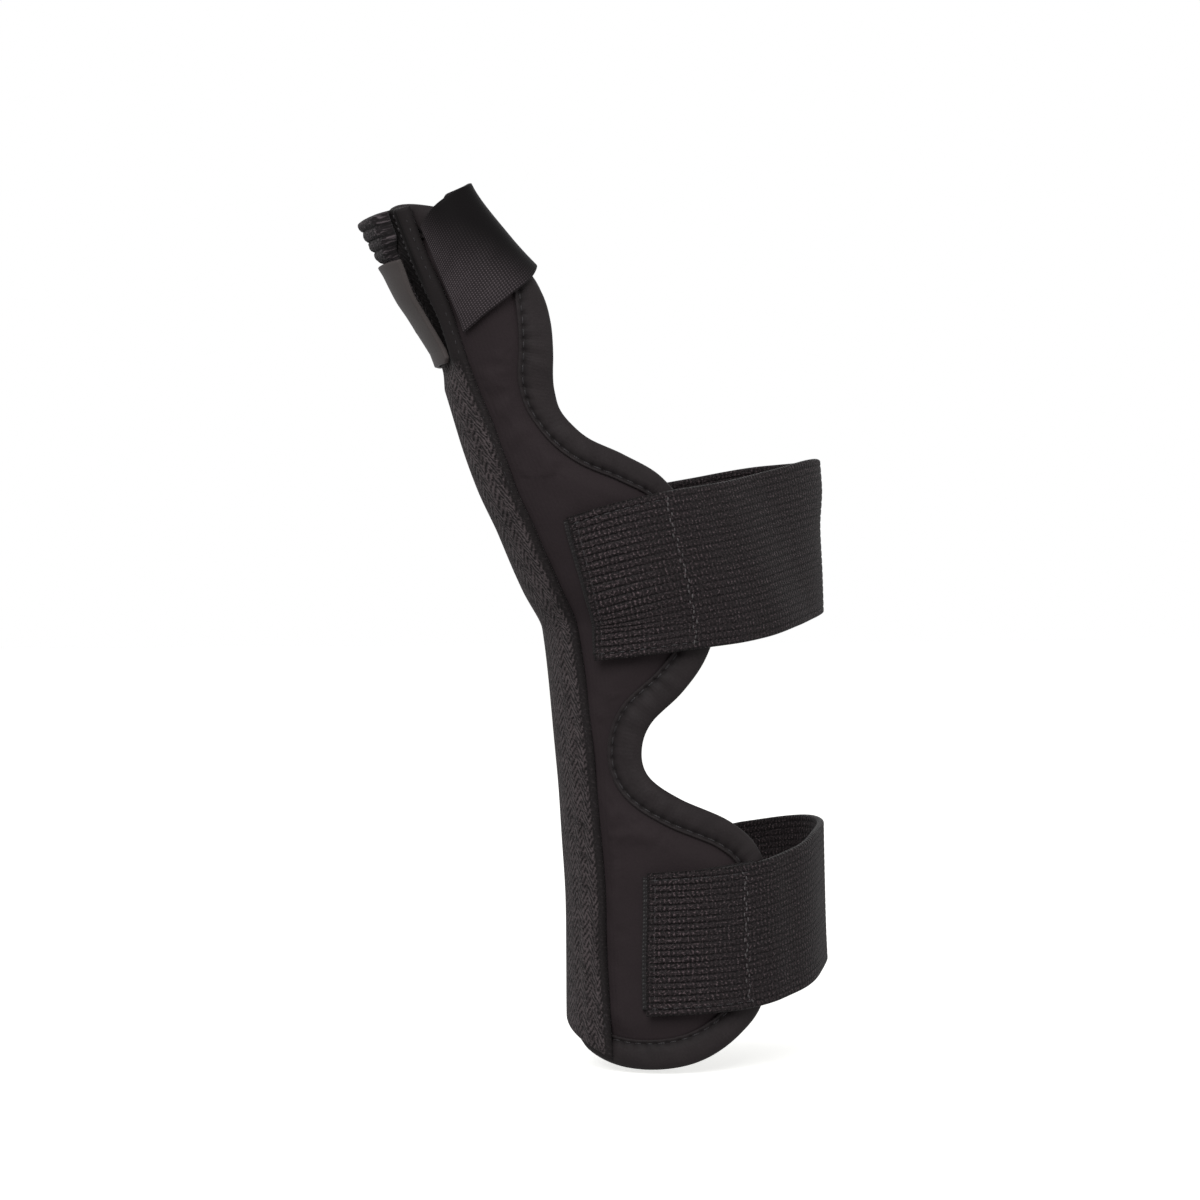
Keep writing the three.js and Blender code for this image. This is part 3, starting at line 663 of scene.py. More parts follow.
def fine_elastic(colour):
    """Fine woven elastic: knots where slanted yarns 0.8 mm apart cross, painted lighter as lit. Early
    in the strap's turn the knots and their relief give way to a painted shadow, which lifts partly
    further on."""
    material, tree, shader, uv = cloth_material("Fine woven elastic", colour, 0.62, 0.02, 0.08)
    along, across = (add(tree, "SeparateXYZ", uv, out=axis) for axis in "XY")
    turned = math.tau / (0.8 * MM) * 0.71
    one = add(tree, "Math SINE",
              add(tree, "Math MULTIPLY", add(tree, "Math ADD", along, across), turned))
    two = add(tree, "Math SINE",
              add(tree, "Math MULTIPLY", add(tree, "Math SUBTRACT", along, across), turned))
    # Painted light on the knots: lighter where the yarns cross.
    knot = add(tree, "Math POWER",
               add(tree, "Math MULTIPLY_ADD", add(tree, "Math MULTIPLY", one, two), 0.5, 0.5), 5)
    # lit_share is 1 where lit and drops into a painted shadow within 15 mm along the strap, leaning
    # across it, then comes back to 0.45 beyond 34 mm; lit_patches breaks it up at random.
    slanted = add(tree, "Math MULTIPLY_ADD", across, 0.5, along)
    near, far = (
        add(tree, "MapRange", dict(zip(("Value", "From Min", "From Max", "To Min", "To Max"), ends)),
            interpolation_type="SMOOTHSTEP")
        for ends in ((slanted, 0, 15 * MM, 1, 0), (along, 22 * MM, 34 * MM, 0, 0.45)))
    lit_share = add(tree, "Math MAXIMUM", near, far)
    fibre = add(tree, "TexNoise", sized(uv, 0.45, Roughness=0.6))
    soft = add(tree, "TexNoise", sized(uv, 8))
    lit_patches = add(tree, "Math MULTIPLY", lit_share, add(tree, "Math MULTIPLY_ADD", soft, 1.1, 0.45))
    weave = add(tree, "Math ADD", knot, add(tree, "Math MULTIPLY", fibre, 0.3))
    shade = add(tree, "Math MULTIPLY", weave, add(tree, "Math MULTIPLY", lit_patches, 1.25))
    height = add(tree, "Math MULTIPLY", weave, add(tree, "Math MULTIPLY_ADD", lit_share, 0.92, 0.08))
    pattern(tree, shader, shade, (0.2, 4.2), height, 0.16, 0.8)
    return material


def hook_tape(colour):
    """Nylon hook tape: a field of stiff hooks, drawn as points 0.9 mm apart."""
    material, tree, shader, uv = cloth_material("Nylon hook tape", colour, 0.45, 0.03, 0.3)
    cells = add(tree, "TexVoronoi", sized(uv, 0.9, Randomness=0.35), out="Distance")
    # The hooks' height is painted into the colour: tips lighter as painted light, the spaces between
    # darker as painted shade.
    height = add(tree, "Math SUBTRACT", 1.0, cells)
    pattern(tree, shader, height, (0.4, 1.4), height, 0.35, 1.0)
    return material


def loop_pile(colour):
    """Brushed nylon loops: no gloss, a grainy broken surface of loops 0.55 mm across, with small
    painted glints on top and painted shade in the gaps between the bare ribs."""
    material, tree, shader, uv = cloth_material("Brushed nylon loop tape", colour, 0.85, 0.1, 0.12,
                                                0.55)
    loops = add(tree, "TexVoronoi", sized(uv, 0.55, Randomness=1.0), out="Distance")
    fuzz = add(tree, "TexNoise", sized(uv, 0.5, Detail=1.0, Roughness=0.7))
    # Small painted glints where the fuzz peaks.
    painted_glints = add(tree, "Math MAXIMUM", add(tree, "Math MULTIPLY_ADD", fuzz, 8.0, -4.2), 0.0)
    height = add(tree, "Math SUBTRACT", fuzz, add(tree, "Math MULTIPLY", loops, 0.5))
    light = add(tree, "Math MULTIPLY_ADD", painted_glints, 0.9, 0.1)
    # hollow is painted shade in the gaps between the bare ribs, from the strip's mesh.
    hollow = add(tree, "Attribute", out="Fac", attribute_name="hollow_share")
    light = add(tree, "Math MULTIPLY", light, add(tree, "Math SUBTRACT", 1.0, hollow))
    light = add(tree, "Math MAXIMUM", light, 0.0)
    pattern(tree, shader, light, (0.2, 3.4), height, 0.35, 1.0)
    return material


def coated_tab(colour):
    """Coated backing of hook tape: smooth, dark grey, with a low satin gloss."""
    material, tree, shader, uv = cloth_material("Coated nylon backing", colour, 0.45, 0.03, 0.3)
    grain = add(tree, "TexNoise", sized(uv, 0.8))
    soft = add(tree, "TexNoise", sized(uv, 9))
    pattern(tree, shader, soft, (0.86, 1.12), grain, 0.03, 0.5)
    return material


def sewing_thread(colour):
    """Bonded polyester thread: two twisted plies, slightly glossy."""
    material, tree, shader, _ = cloth_material("Bonded polyester thread", colour, 0.42, 0.04, 0.3)
    place = add(tree, "TexCoord", out="Object")
    ply = add(tree, "TexWave", sized(place, 0.5 / 0.35, Distortion=2.0), out="Fac")
    # The plies' wave is painted into the colour: light and dark bands as painted light and shade on the
    # twist.
    pattern(tree, shader, ply, (0.6, 1.3), ply, 0.05, 0.6)
    return material


def painted(colour):
    """Matt studio paint."""
    material, tree, shader, _ = cloth_material("Matt studio paint", colour, 0.9, 0.0)
    place = add(tree, "TexCoord", out="Object")
    cloud = add(tree, "TexNoise", sized(place, 400))
    paint = add(tree, "Mix", {0: cloud, 6: tinted(colour, 0.99), 7: colour}, out=2, data_type="RGBA")
    tree.links.new(paint, shader.inputs["Base Color"])
    return material


def finish_of(make, key):
    """A material made once from one of the colours."""
    name = f"splint {key}"
    if name not in bpy.data.materials:
        make(tuple(getattr(bpy.context.scene.splint_colours, key))).name = name
    return bpy.data.materials[name]


# Panels and binding.
CURVE_STEPS = 24                # fine points on each stretch of an outline
SHOULDER = 8.2                  # where the padding starts to thin toward the binding
CLOTH_SCALE = 8                 # the cloth is simulated this much larger
CLOTH_FRAMES = 14
LEAD = 0.35 * PANEL_REACH       # the edge direction turns along the seam within this


def curve_through(loop, last):
    """Fine points along a smooth curve through the corners 0 to last of a closed loop."""
    loop = np.array(loop, float)
    corner = np.arange(last)[:, None]
    a, b, c, d = (loop[(corner + k) % len(loop)] for k in (-1, 0, 1, 2))
    t = (np.arange(CURVE_STEPS) / CURVE_STEPS)[None, :, None]
    bend = (2 * a - 5 * b + 4 * c - d) * t**2 + (3 * b - a - 3 * c + d) * t**3
    points = 0.5 * (2 * b + (c - a) * t + bend)
    return np.concatenate([points.reshape(-1, 2), loop[last][None]])


def panel_stations(side, end_steps, edge_steps):
    """Places round a panel's outer edge and the flat outward direction at each. side is 1 for the
    back of the hand and -1 for the palm side."""
    own, other = (DORSAL_LOWER_END, VOLAR_LOWER_END)[::side]

    def placed(rows, sign):
        return [(sign * reach * PANEL_REACH, at * HEIGHT) for reach, at in rows]

    half = placed([*own, *FREE_EDGE, *UPPER_END], side)
    rest = placed([*other, *FREE_EDGE, *UPPER_END], -side)[1:-1][::-1]
    places = curve_through(half + rest, len(half) - 1)
    run = np.concatenate([places[1:2] - places[:1], places[2:] - places[:-2],
                          places[-1:] - places[-2:-1]])
    away = np.stack([smooth(np.abs(places[:, 0]) / LEAD) * side * run[:, 1], -side * run[:, 0]], -1)
    away /= np.linalg.norm(away, axis=1, keepdims=True)
    inner = places - away * SHOULDER
    steps = np.linalg.norm(np.diff(places, axis=0), axis=1) + np.linalg.norm(np.diff(inner, axis=0),
                                                                             axis=1)
    lengths = np.concatenate([[0], np.cumsum(steps)])
    corners = [0, (len(own) - 1) * CURVE_STEPS, (len(own) + len(FREE_EDGE)) * CURVE_STEPS,
               len(places) - 1]
    counts = [end_steps, edge_steps, end_steps]
    spots = [np.linspace(lengths[corners[i]], lengths[corners[i + 1]], counts[i] + 1) for i in range(3)]
    spots = np.concatenate([spots[0], spots[1][1:], spots[2][1:]])
    at, away = (np.stack([np.interp(spots, lengths, x[:, k]) for k in (0, 1)], -1) for x in (places,
                                                                                             away))
    away /= np.linalg.norm(away, axis=1, keepdims=True)
    at[[0, -1], 0] = side * SEAM_GAP / 2
    return at, away


def panel_grid(side, line, end_steps, edge_steps):
    """Grid inside the shoulder line, blended from its four sides."""
    low = line[:end_steps + 1]
    edge = line[end_steps:end_steps + edge_steps + 1]
    high = line[end_steps + edge_steps:][::-1]
    share = (edge[:, 1] - edge[0, 1]) / (edge[-1, 1] - edge[0, 1])
    seam = np.stack([np.full(len(edge), side * SEAM_GAP / 2), mix(low[0, 1], high[0, 1], share)], -1)
    u = np.linspace(0, 1, end_steps + 1)[None, :, None]
    v = np.linspace(0, 1, edge_steps + 1)[:, None, None]
    # How far each end bows from a straight line, fading out up the panel.
    bow_low = low[None] - mix(low[0], low[-1], u)
    bow_high = high[None] - mix(high[0], high[-1], u)
    return mix(seam[:, None], edge[:, None], u) + bow_low * (1 - v)**6 + bow_high * v**6


def padding(distance, sizes):
    """Inner and outer height of a panel at a distance from its outer edge: thin inside the binding,
    pinched by the stitches, full a little way in."""
    pinch, full = sizes.panel_pinch / MM, sizes.panel_height / MM
    outer = np.interp(distance, [1.4, 5, 7], [2.2, 2.25, pinch])
    outer = outer + (full - pinch) * smooth((distance - 6.6) / 5.5)
    inner = np.interp(distance, [1.4, 5.4, 8.2, 40], [1.4, 1.2, 0.05, 0])
    return inner, outer


def pressed(s, z):
    """1 where a strap lies on a panel, fading to 0 a little way from it."""
    run = np.where(s > 0, s, girth(z) + s)
    most = 0 * z
    for strap in strap_table(bpy.context.scene.splint_straps).values():
        share = (run - strap["start"]) / (girth(z) - strap["finish"] - strap["start"])
        beside = np.abs(z - follow(strap["path"], 1, np.clip(share, 0, 1)) * HEIGHT)
        ahead = np.maximum(strap["start"] - run, run - girth(z) + strap["finish"])
        clear = np.maximum(beside - 0.52 * strap["width"], ahead)
        most = np.maximum(most, 1 - smooth((clear - 2) / 6))
    return most


def filled(points, faces, normals, held):
    """Cloth simulation of a panel's outer cloth, filled from inside and held where held is 1. The
    cloth is a little larger than its place, so that it creases. Gives the height gained, in mm."""
    mesh = bpy.data.meshes.new("cloth")
    mesh.from_pydata((points * MM * CLOTH_SCALE).tolist(), [], faces.tolist())
    cloth = bpy.data.objects.new("cloth", mesh)
    bpy.context.scene.collection.objects.link(cloth)
    group = cloth.vertex_groups.new(name="held")
    for i, share in enumerate(held):
        group.add([i], float(share), "REPLACE")
    modifier = cloth.modifiers.new("Cloth", "CLOTH")
    settings = modifier.settings
    settings.quality = 4
    settings.mass = 0.3
    settings.tension_stiffness = settings.compression_stiffness = 12
    settings.shear_stiffness = 4
    settings.bending_stiffness = 0.3
    settings.shrink_min = -0.04
    settings.vertex_group_mass = "held"
    settings.use_pressure = True
    settings.uniform_pressure_force = 6
    settings.effector_weights.gravity = 0
    modifier.collision_settings.use_collision = False
    modifier.point_cache.frame_start, modifier.point_cache.frame_end = 1, CLOTH_FRAMES
    for step in range(1, CLOTH_FRAMES + 1):
        bpy.context.scene.frame_set(step)
    shaped = cloth.evaluated_get(bpy.context.evaluated_depsgraph_get()).data
    moved = np.empty(len(points) * 3)
    shaped.vertices.foreach_get("co", moved)
    gain = ((moved.reshape(-1, 3) / (MM * CLOTH_SCALE) - points) * normals).sum(-1)
    bpy.data.objects.remove(cloth)
    bpy.data.meshes.remove(mesh)
    bpy.context.scene.frame_set(1)
    return gain


def padded_panel(name, side, sizes):
    """Closed padded panel with a fine grid."""
    end_steps, edge_steps = 34, 210
    at, away = panel_stations(side, end_steps, edge_steps)
    grid = panel_grid(side, at - away * SHOULDER, end_steps, edge_steps)
    flat = grid.reshape(-1, 2)
    rings = [7.6, 7.0, 5.6, 3.6, 1.4]
    near = np.array([np.min(np.linalg.norm(at - p, axis=1)) for p in flat])
    distance = np.concatenate([near] + [np.full(len(at), d) for d in rings])
    places = np.concatenate([flat] + [at - away * d for d in rings])
    s, z = places.T
    inner, outer = padding(distance, sizes)
    free = smooth((distance - 7.5) / 5)
    outer = outer + free * (0.1 * ripples(s, z, 26, 11 + side) + 0.05 * ripples(s, z, 9, 5 + side))
    index = np.arange(len(flat)).reshape(edge_steps + 1, end_steps + 1)
    loop = np.concatenate([index[0, :], index[1:, -1], index[-1, -2::-1]])
    faces = [grid_faces(index)]
    last = loop
    for k in range(len(rings)):
        ring = len(flat) + k * len(at) + np.arange(len(at))
        faces.append(np.stack([last[:-1], ring[:-1], ring[1:], last[1:]], -1))
        last = ring
    upper = np.concatenate(faces)
    held = np.maximum(1 - smooth((distance - 7.4) / 3), 1 - smooth((np.abs(s) - 7.6) / 2.5))
    held = np.maximum(held, pressed(s, z))
    fill = filled(surface(s, z, outer), upper[:, ::side], outward(s, z), held)
    outer = outer + np.clip(fill, -0.15, 0.6) * (1 - held)
    points = np.concatenate([surface(s, z, outer), surface(s, z, inner)])
    lower = upper[:, ::-1] + len(places)
    # The open border runs along the last ring, then back down the seam.
    seam = index[-2:0:-1, 0]
    joins = [len(flat) + k * len(at) for k in range(len(rings))]
    top = [j + len(at) - 1 for j in joins]
    border = np.concatenate([last, top[-2::-1], [index[-1, 0]], seam, [index[0, 0]], joins[:-1]])
    after = np.roll(border, -1)
    sides = np.stack([after, border, border + len(places), after + len(places)], -1)
    faces = np.concatenate([upper, lower, sides])
    if side < 0:
        faces = faces[:, ::-1]
    uv = np.tile(np.stack([z, s], -1), (2, 1))
    return new_mesh(name, points, faces, uv[faces])


def binding_profile(sizes, pinch):
    """Folded strip in section, from its inner edge over the fold and back: distance in from the
    outer edge and height. pinch is 1 at a stitch and 0 between two."""
    width, wall = sizes.binding_width / MM, sizes.binding_wall / MM
    line = sizes.stitch_inset / MM
    dip = 0.22 + sizes.pucker / MM * pinch
    top = 3.62
    shape = [
        (width + 0.1, 2.95), (width + 0.16, 3.3), (width - 0.1, 3.5), (line + 0.3, 3.44 - dip * 0.45),
        (line, 3.36 - dip), (line - 0.3, 3.42 - dip * 0.7), (line - 0.9, 3.55 - dip * 0.25),
        (line - 1.8, top), (3.2, top + 0.08), (2.0, top - 0.02), (1.1, top - 0.32), (0.4, top - 0.85),
        (0.08, top - 1.35), (0, 1.8), (0.08, 1.3), (0.4, 0.75), (1.1, 0.3), (2.0, 0.05), (3.2, 0),
        (line - 1.8, 0.02), (line - 0.4, 0.12), (line, 0.22), (line + 0.4, 0.1), (width, 0.06),
        (width, 0.06 + wall), (line - 1, 0.12 + wall), (2.6, 0.12 + wall), (1.3, 0.95), (0.85, 1.8),
        (1.3, 2.6), (2.6, top - wall - 0.15), (line - 1, 2.85), (line, 2.62),
    ]
    return [(d + 0 * pinch, h + 0 * pinch) for d, h in shape]


BINDING_STEPS = (96, 600)


def stitch_line(side, sizes):
    """Stations of a panel's edge, its stitch line's flat places, and the length along that line."""
    at, away = panel_stations(side, *BINDING_STEPS)
    place = at - away * (sizes.stitch_inset / MM)
    steps = np.linalg.norm(np.diff(surface(place[:, 0], place[:, 1], 3.1), axis=0), axis=1)
    return at, away, place, np.concatenate([[0], np.cumsum(steps)])


def needle_pinch(run, seed):
    """How strongly each place along a stitch line is pinched: 1 at a needle hole, 0 between two."""
    phase = run / (bpy.context.scene.splint_stitches.pitch / MM)
    near = (0.5 + 0.5 * np.cos(math.tau * phase)) ** 2
    return np.clip(near * (0.85 + 0.2 * ripples(run, 0 * run, 14, seed)), 0, 1.2)


def edge_binding(name, sizes):
    """One strip round the outer edge of both panels."""
    first, second = stitch_line(1, sizes), stitch_line(-1, sizes)
    at, away = (np.concatenate([first[k], second[k][::-1][1:-1]]) for k in (0, 1))
    pinch = np.concatenate([needle_pinch(first[3], 3), needle_pinch(second[3], 4)[::-1][1:-1]])
    run = np.concatenate([[0], np.cumsum(np.linalg.norm(np.diff(at, axis=0), axis=1))])
    profile = binding_profile(sizes, pinch)
    count, rounds = len(profile), len(at)
    d = np.stack([x for x, _ in profile], -1)
    out = np.stack([h for _, h in profile], -1)
    over = smooth((d - 0.6) / 2) * smooth((6.6 - d) / 2) * (out > 2)
    wrinkle = 0.12 * ripples(run[:, None], d * 0.25, 4.5, 21) + 0.08 * ripples(run[:, None], d, 11, 22)
    out = out + over * wrinkle
    # Painted shade: dark at each needle hole and along a broader valley by the stitch line, on the
    # outer face only.
    off_line = (d - sizes.stitch_inset / MM) / 0.6
    hole = np.clip(pinch, 0, 1)[:, None] ** 1.5 * np.exp(-off_line**2)
    hole = np.maximum(hole, 0.7 * np.exp(-(((off_line + 0.5) / 1.2) ** 2))) * (out > 2)
    place = at[:, None, :] - away[:, None, :] * d[..., None]
    points = surface(place[..., 0], place[..., 1], out).reshape(-1, 3)
    index = np.arange(rounds * count).reshape(rounds, count)
    here, after = index, np.roll(index, -1, axis=0)
    faces = np.stack([here, np.roll(here, -1, axis=1), np.roll(after, -1, axis=1), after], -1)
    profile_run = np.concatenate([[0], np.cumsum(np.hypot(np.diff(d[0]), np.diff(out[0])))])
    closed_run = np.append(run, run[-1] + 0.8)
    k, i = np.meshgrid(np.arange(rounds), np.arange(count), indexing="ij")
    wrap = np.append(profile_run, profile_run[-1] + 0.4)
    corner_uv = np.stack([np.stack([closed_run[k + a], wrap[i + b]], -1)
                          for a, b in ((0, 0), (0, 1), (1, 1), (1, 0))], 2)
    return new_mesh(name, points, faces.reshape(-1, 4), corner_uv.reshape(-1, 4, 2),
                    {"needle_hole": hole})


def binding_stitches(material, sizes):
    """Stitch lines along the binding of both panels, ending under the band. A stitch lies between
    each two needle holes."""
    pitch = bpy.context.scene.splint_stitches.pitch / MM
    lines = []
    for side in (1, -1):
        _, _, place, run = stitch_line(side, sizes)
        clear = run[np.abs(place[:, 0]) > 5]
        first = math.ceil(clear[0] / pitch) + 0.5
        last = math.floor(clear[-1] / pitch) - 0.5
        spots = np.arange(first, last + 0.01, 0.25) * pitch
        s, z = (np.interp(spots, run, place[:, k]) for k in (0, 1))
        lines.append((s, z, np.full(len(s), 3.16)))
    sewn("binding_stitches", lines, material, pitch * 0.9995)


# Band over the seam.
SLEEVE_TOP = 0.405
SLEEVE_FOOT = -0.506
SLEEVE_CUT = 0.021
SLEEVE_BASE = 4.1

# Up the thumb: height, share of the band's rise left where the closing tab presses on it, and the
# loop strip's thickness under the tab as a share of its bare thickness.
PRESS = np.array([
    (0.216, 1, 0.25), (0.24, 0.52, 0.25), (0.28, 0.5, 0.25), (0.3, 0.6, 0.38), (0.324, 0.82, 0.57),
    (0.356, 1, 0.6),
])


def band_dome(s, z, sizes):
    across = np.clip(np.abs(s) / (SLEEVE_WIDTH / 2), 0, 1)
    rise = sizes.sleeve_rise / MM * follow(PRESS, 1, z / HEIGHT)
    return mix(rise, sizes.sleeve_edge / MM, across**2)


def thumb_share(z):
    return smooth((z / HEIGHT - 0.225) / 0.03)


def sleeve_height(s, z, sizes):
    """Outer height of the band: domed, with a corded rib along its side at the thumb."""
    dome = band_dome(s, z, sizes)
    rib = 0.75 * np.exp(-(((s - 5.5) / 1.3) ** 2)) - 0.75 * np.exp(-(((s - 3.3) / 0.85) ** 2))
    return SLEEVE_BASE + dome + thumb_share(z) * rib


def stay_sleeve(name, sizes):
    """Domed band from the thumb to the lower end, which is cut at a slant."""
    width = edged(SLEEVE_WIDTH, 40, 0.5)
    share = 2 * width / SLEEVE_WIDTH - 1
    foot = (SLEEVE_FOOT - SLEEVE_CUT * share) * HEIGHT
    length = SLEEVE_TOP * HEIGHT - foot
    along = edged(1.0, 470, 0.004)[:, None]
    z = foot[None, :] + along * length[None, :]
    s = np.broadcast_to(share * SLEEVE_WIDTH / 2, z.shape)
    soft = 0.07 * ripples(s, z * 0.5, 13, 31)
    parting = np.exp(-(((s - 5.0) / 0.5) ** 2)) * smooth((z / HEIGHT - 0.31) / 0.05)
    outer = sleeve_height(s, z, sizes) + soft - 0.5 * parting
    edge = border_distance(length[None, :], SLEEVE_WIDTH, along * length[None, :], width[None, :])
    outer = SLEEVE_BASE + (outer - SLEEVE_BASE) * rounding(edge, 0.6)
    plain = smooth((s - 2.4) / 1.2) * thumb_share(z)
    plain = np.maximum(plain, 0.8 * smooth((s - 6.2) / 0.5))
    s = s + 0.12 * ripples(z, 0 * z, 22, 32) * np.sign(s) * (np.abs(s) > 6)
    # hollow is painted shade: in the channel beside the corded rib at the thumb, and in the parting
    # groove near the top.
    hollow = 0.8 * np.exp(-(((s - 2.7) / 1.5) ** 2)) * thumb_share(z)
    hollow = np.maximum(hollow, 0.85 * parting)
    data = {"plain_share": np.maximum(plain, hollow), "hollow_share": hollow}
    return slab(name, s, z, SLEEVE_BASE + 0.02, outer, z - foot[None, :], s, data)


def sleeve_stitches(material, sizes):
    """Small sunken stitches near both sides of the band, and a row beside the rib at the thumb."""
    z = np.arange(-0.49 * HEIGHT, 0.395 * HEIGHT, 0.8)
    lines = []
    for s in (6.75, -6.75):
        place = np.full(z.shape, s)
        lines.append((place, z, sleeve_height(place, z, sizes) - 0.05))
    sewn("band_stitches", lines, material, 2.3, 1.1, 0.34, 0.1)
    z = np.arange(0.245 * HEIGHT, 0.4 * HEIGHT, 0.8)
    place = np.full(z.shape, 3.3)
    row = [(place, z, sleeve_height(place, z, sizes))]
    sewn("thumb_band_stitches", row, material, 1.5, 1.15, 0.6, 0.05)


# Straps.
PANEL_THICKNESS = 3.6
ON_PANEL = PANEL_THICKNESS + LAYER_GAP
HOOK_THICKNESS = 1.2
ON_HOOK = ON_PANEL + HOOK_THICKNESS + LAYER_GAP
ON_SKIN = LAYER_GAP
PATCH_LENGTH = 0.52 * PANEL_REACH


def strap_place(strap, along, across):
    """Flat place of a point of a strap, along as a share of its run and across in millimetres."""
    centre = follow(strap["path"], 1, along) * HEIGHT

    def share_at(z):
        return (strap["start"] + along * (girth(z) - strap["finish"] - strap["start"])) / girth(z)

    share = share_at(centre)
    step = skin(share * girth(centre + 2), centre + 2) - skin(share * girth(centre - 2), centre - 2)
    z = centre + across * 4 / np.linalg.norm(step, axis=-1)
    tilt = strap["lean"] * across * (1 - smooth(along * 3))
    return share_at(z) * girth(z) + tilt, z


def strap_lift(s, back, panel_edge, fall, patch_end):
    """Height of a strap's inner face: on its hook patch, then on the panel, then near the hollow."""
    front = 1 - smooth((s - panel_edge) / fall)
    rear = 1 - smooth((back - panel_edge) / fall)
    hook = 1 - smooth((s - patch_end) / (0.4 * fall))
    return ON_SKIN + (ON_PANEL - ON_SKIN) * np.maximum(front, rear) + (ON_HOOK - ON_PANEL) * hook


def thumb_lift(s, back):
    half = (s + back) / 2
    return ON_SKIN + (ON_PANEL - ON_SKIN) * smooth((np.abs(s - half) / half - 0.08) / 0.16)


def strap_table(sizes):
    """The three straps: path, width, thickness, distances of the ends from the seam, lean and lift."""
    reach = PANEL_REACH
    return {
        "wrist": {
            "path": WRIST_PATH, "width": sizes.wrist_width / MM, "thickness": sizes.thickness / MM,
            "start": 0.29 * reach, "finish": 0.48 * reach, "lean": 0.1,
            "lift": lambda s, back: strap_lift(s, back, 1.02 * reach, 0.5 * reach, 0.86 * reach)},
        "forearm": {
            "path": FOREARM_PATH, "width": sizes.forearm_width / MM,
            "thickness": sizes.thickness / MM,
            "start": 0.36 * reach, "finish": 0.52 * reach, "lean": 0.04,
            "lift": lambda s, back: strap_lift(s, back, 1.05 * reach, 0.45 * reach, 0.9 * reach)},
        "thumb": {
            "path": THUMB_PATH, "width": sizes.thumb_width / MM,
            "thickness": sizes.thumb_thickness / MM,
            "start": 0.6 * SLEEVE_WIDTH, "finish": 0.84 * SLEEVE_WIDTH, "lean": 0, "lift": thumb_lift},
    }


def strap_length(strap):
    along = np.linspace(0, 1, 200)
    s, z = strap_place(strap, along, 0 * along)
    points = surface(s, z, strap["lift"](s, girth(z) - s))
    return float(np.linalg.norm(np.diff(points, axis=0), axis=1).sum())


def strap_band(name, strap, along_steps, across_steps, ribs=0):
    """Closed band of a strap, with the ribs' attributes."""
    length, width = strap_length(strap), strap["width"]
    run = edged(length, along_steps, 0.9)
    side = edged(width, across_steps, 0.5)
    along, across = np.meshgrid(run / length, side - width / 2)
    s, z = strap_place(strap, along, across)
    lift = strap["lift"](s, girth(z) - s)
    edge = border_distance(length, width, along * length, across + width / 2)
    round_off = rounding(edge, 0.6)
    half = strap["thickness"] / 2
    sag = 0.05 * ripples(along * length, across, 30, 41)
    middle = lift + half + sag
    share = (across + width / 2) / width
    border = 1 - smooth((2.0 - np.minimum(along * length, length - along * length)) / 0.6)
    strength = smooth((edge - 0.3) / 0.8) * mix(0.3, 1.0, border)
    patch = smooth((PATCH_LENGTH - 6 - along * length) / 11)
    strength = strength * mix(0.35, 1.0, patch)
    data = {"across_share": share, "rib_share": strength}
    made = slab(name, s, z, middle - half * round_off, middle + half * round_off,
                along * length, across, data)
    return made, length


def strap_line(strap, along, across, out):
    """Stitch line on a strap, from lengths along and across it."""
    along, across = np.broadcast_arrays(along, across)
    s, z = strap_place(strap, along / strap_length(strap), across)
    return s, z, strap["lift"](s, girth(z) - s) + out


def strap_stitches(key, strap, thread, worn_thread):
    """Stitches round the hook patch: straight at the strap's tip and along its sides, and a light
    zigzag across its other end."""
    inset, out = 1.8, strap["thickness"]
    width = strap["width"] / 2 - inset
    run = np.linspace(inset, PATCH_LENGTH - 2, 60)
    side = np.linspace(-width, width, 120)
    lines = [strap_line(strap, run[:1], side, out)]
    lines += [strap_line(strap, run, side[k:][:1], out) for k in (0, -1)]
    sewn(key + "_strap_stitches", lines, thread, 2.3, 1.7, 0.36, 0.1)
    zigzag = run[-1] + 0.55 * np.arcsin(np.sin(side * math.tau / 3.2)) / (math.pi / 2)
    end = [strap_line(strap, zigzag, side, out)]
    sewn(key + "_strap_end_stitches", end, worn_thread, 1.45, 1.05, 0.42, 0.02)


def hook_patch(name, strap, material):
    """Hook tape between a strap's end and the panel, showing a little beyond the strap."""
    margin = 1.2
    width = strap["width"] - 2 * margin
    run, side = edged(PATCH_LENGTH, 40, 0.3), edged(width, 50, 0.3)
    along, across = np.meshgrid(run, side - width / 2)
    start, z = strap_place(strap, 0 * across, across)
    edge = border_distance(PATCH_LENGTH, width, along, across + width / 2)
    outer = ON_PANEL + HOOK_THICKNESS * rounding(edge, 0.25)
    made = slab(name, start + 0.5 + along - 1.7, z + 0.14 * along, ON_PANEL, outer, along, across)
    dress(made, material, [name])


# Loop strip and closing tab at the thumb.
PILE_FOOT = 0.29
PILE_TOP = 0.405
TAB_FOOT = 0.243
TAB_TOP = 0.362
TAB_REST = 0.258                # below this the tab lies on the band itself
PILE_THICKNESS = 3.0
TAB_THICKNESS = 1.1
PILE_RIBS = 4


def band_height(s, z, sizes):
    on_band = np.abs(s) <= SLEEVE_WIDTH / 2
    return np.where(on_band, SLEEVE_BASE + band_dome(s, z, sizes), ON_PANEL + 0.8)


def pile_depth(z):
    """Thickness of the loop strip: thin under the tab, thicker toward its bare upper end."""
    share = z / HEIGHT
    bare = smooth((share - TAB_TOP + 0.004) / 0.005)
    full = mix(1, 1.5, np.clip((share - TAB_TOP) / (PILE_TOP - TAB_TOP), 0, 1))
    return PILE_THICKNESS * mix(follow(PRESS, 2, share), full, bare)


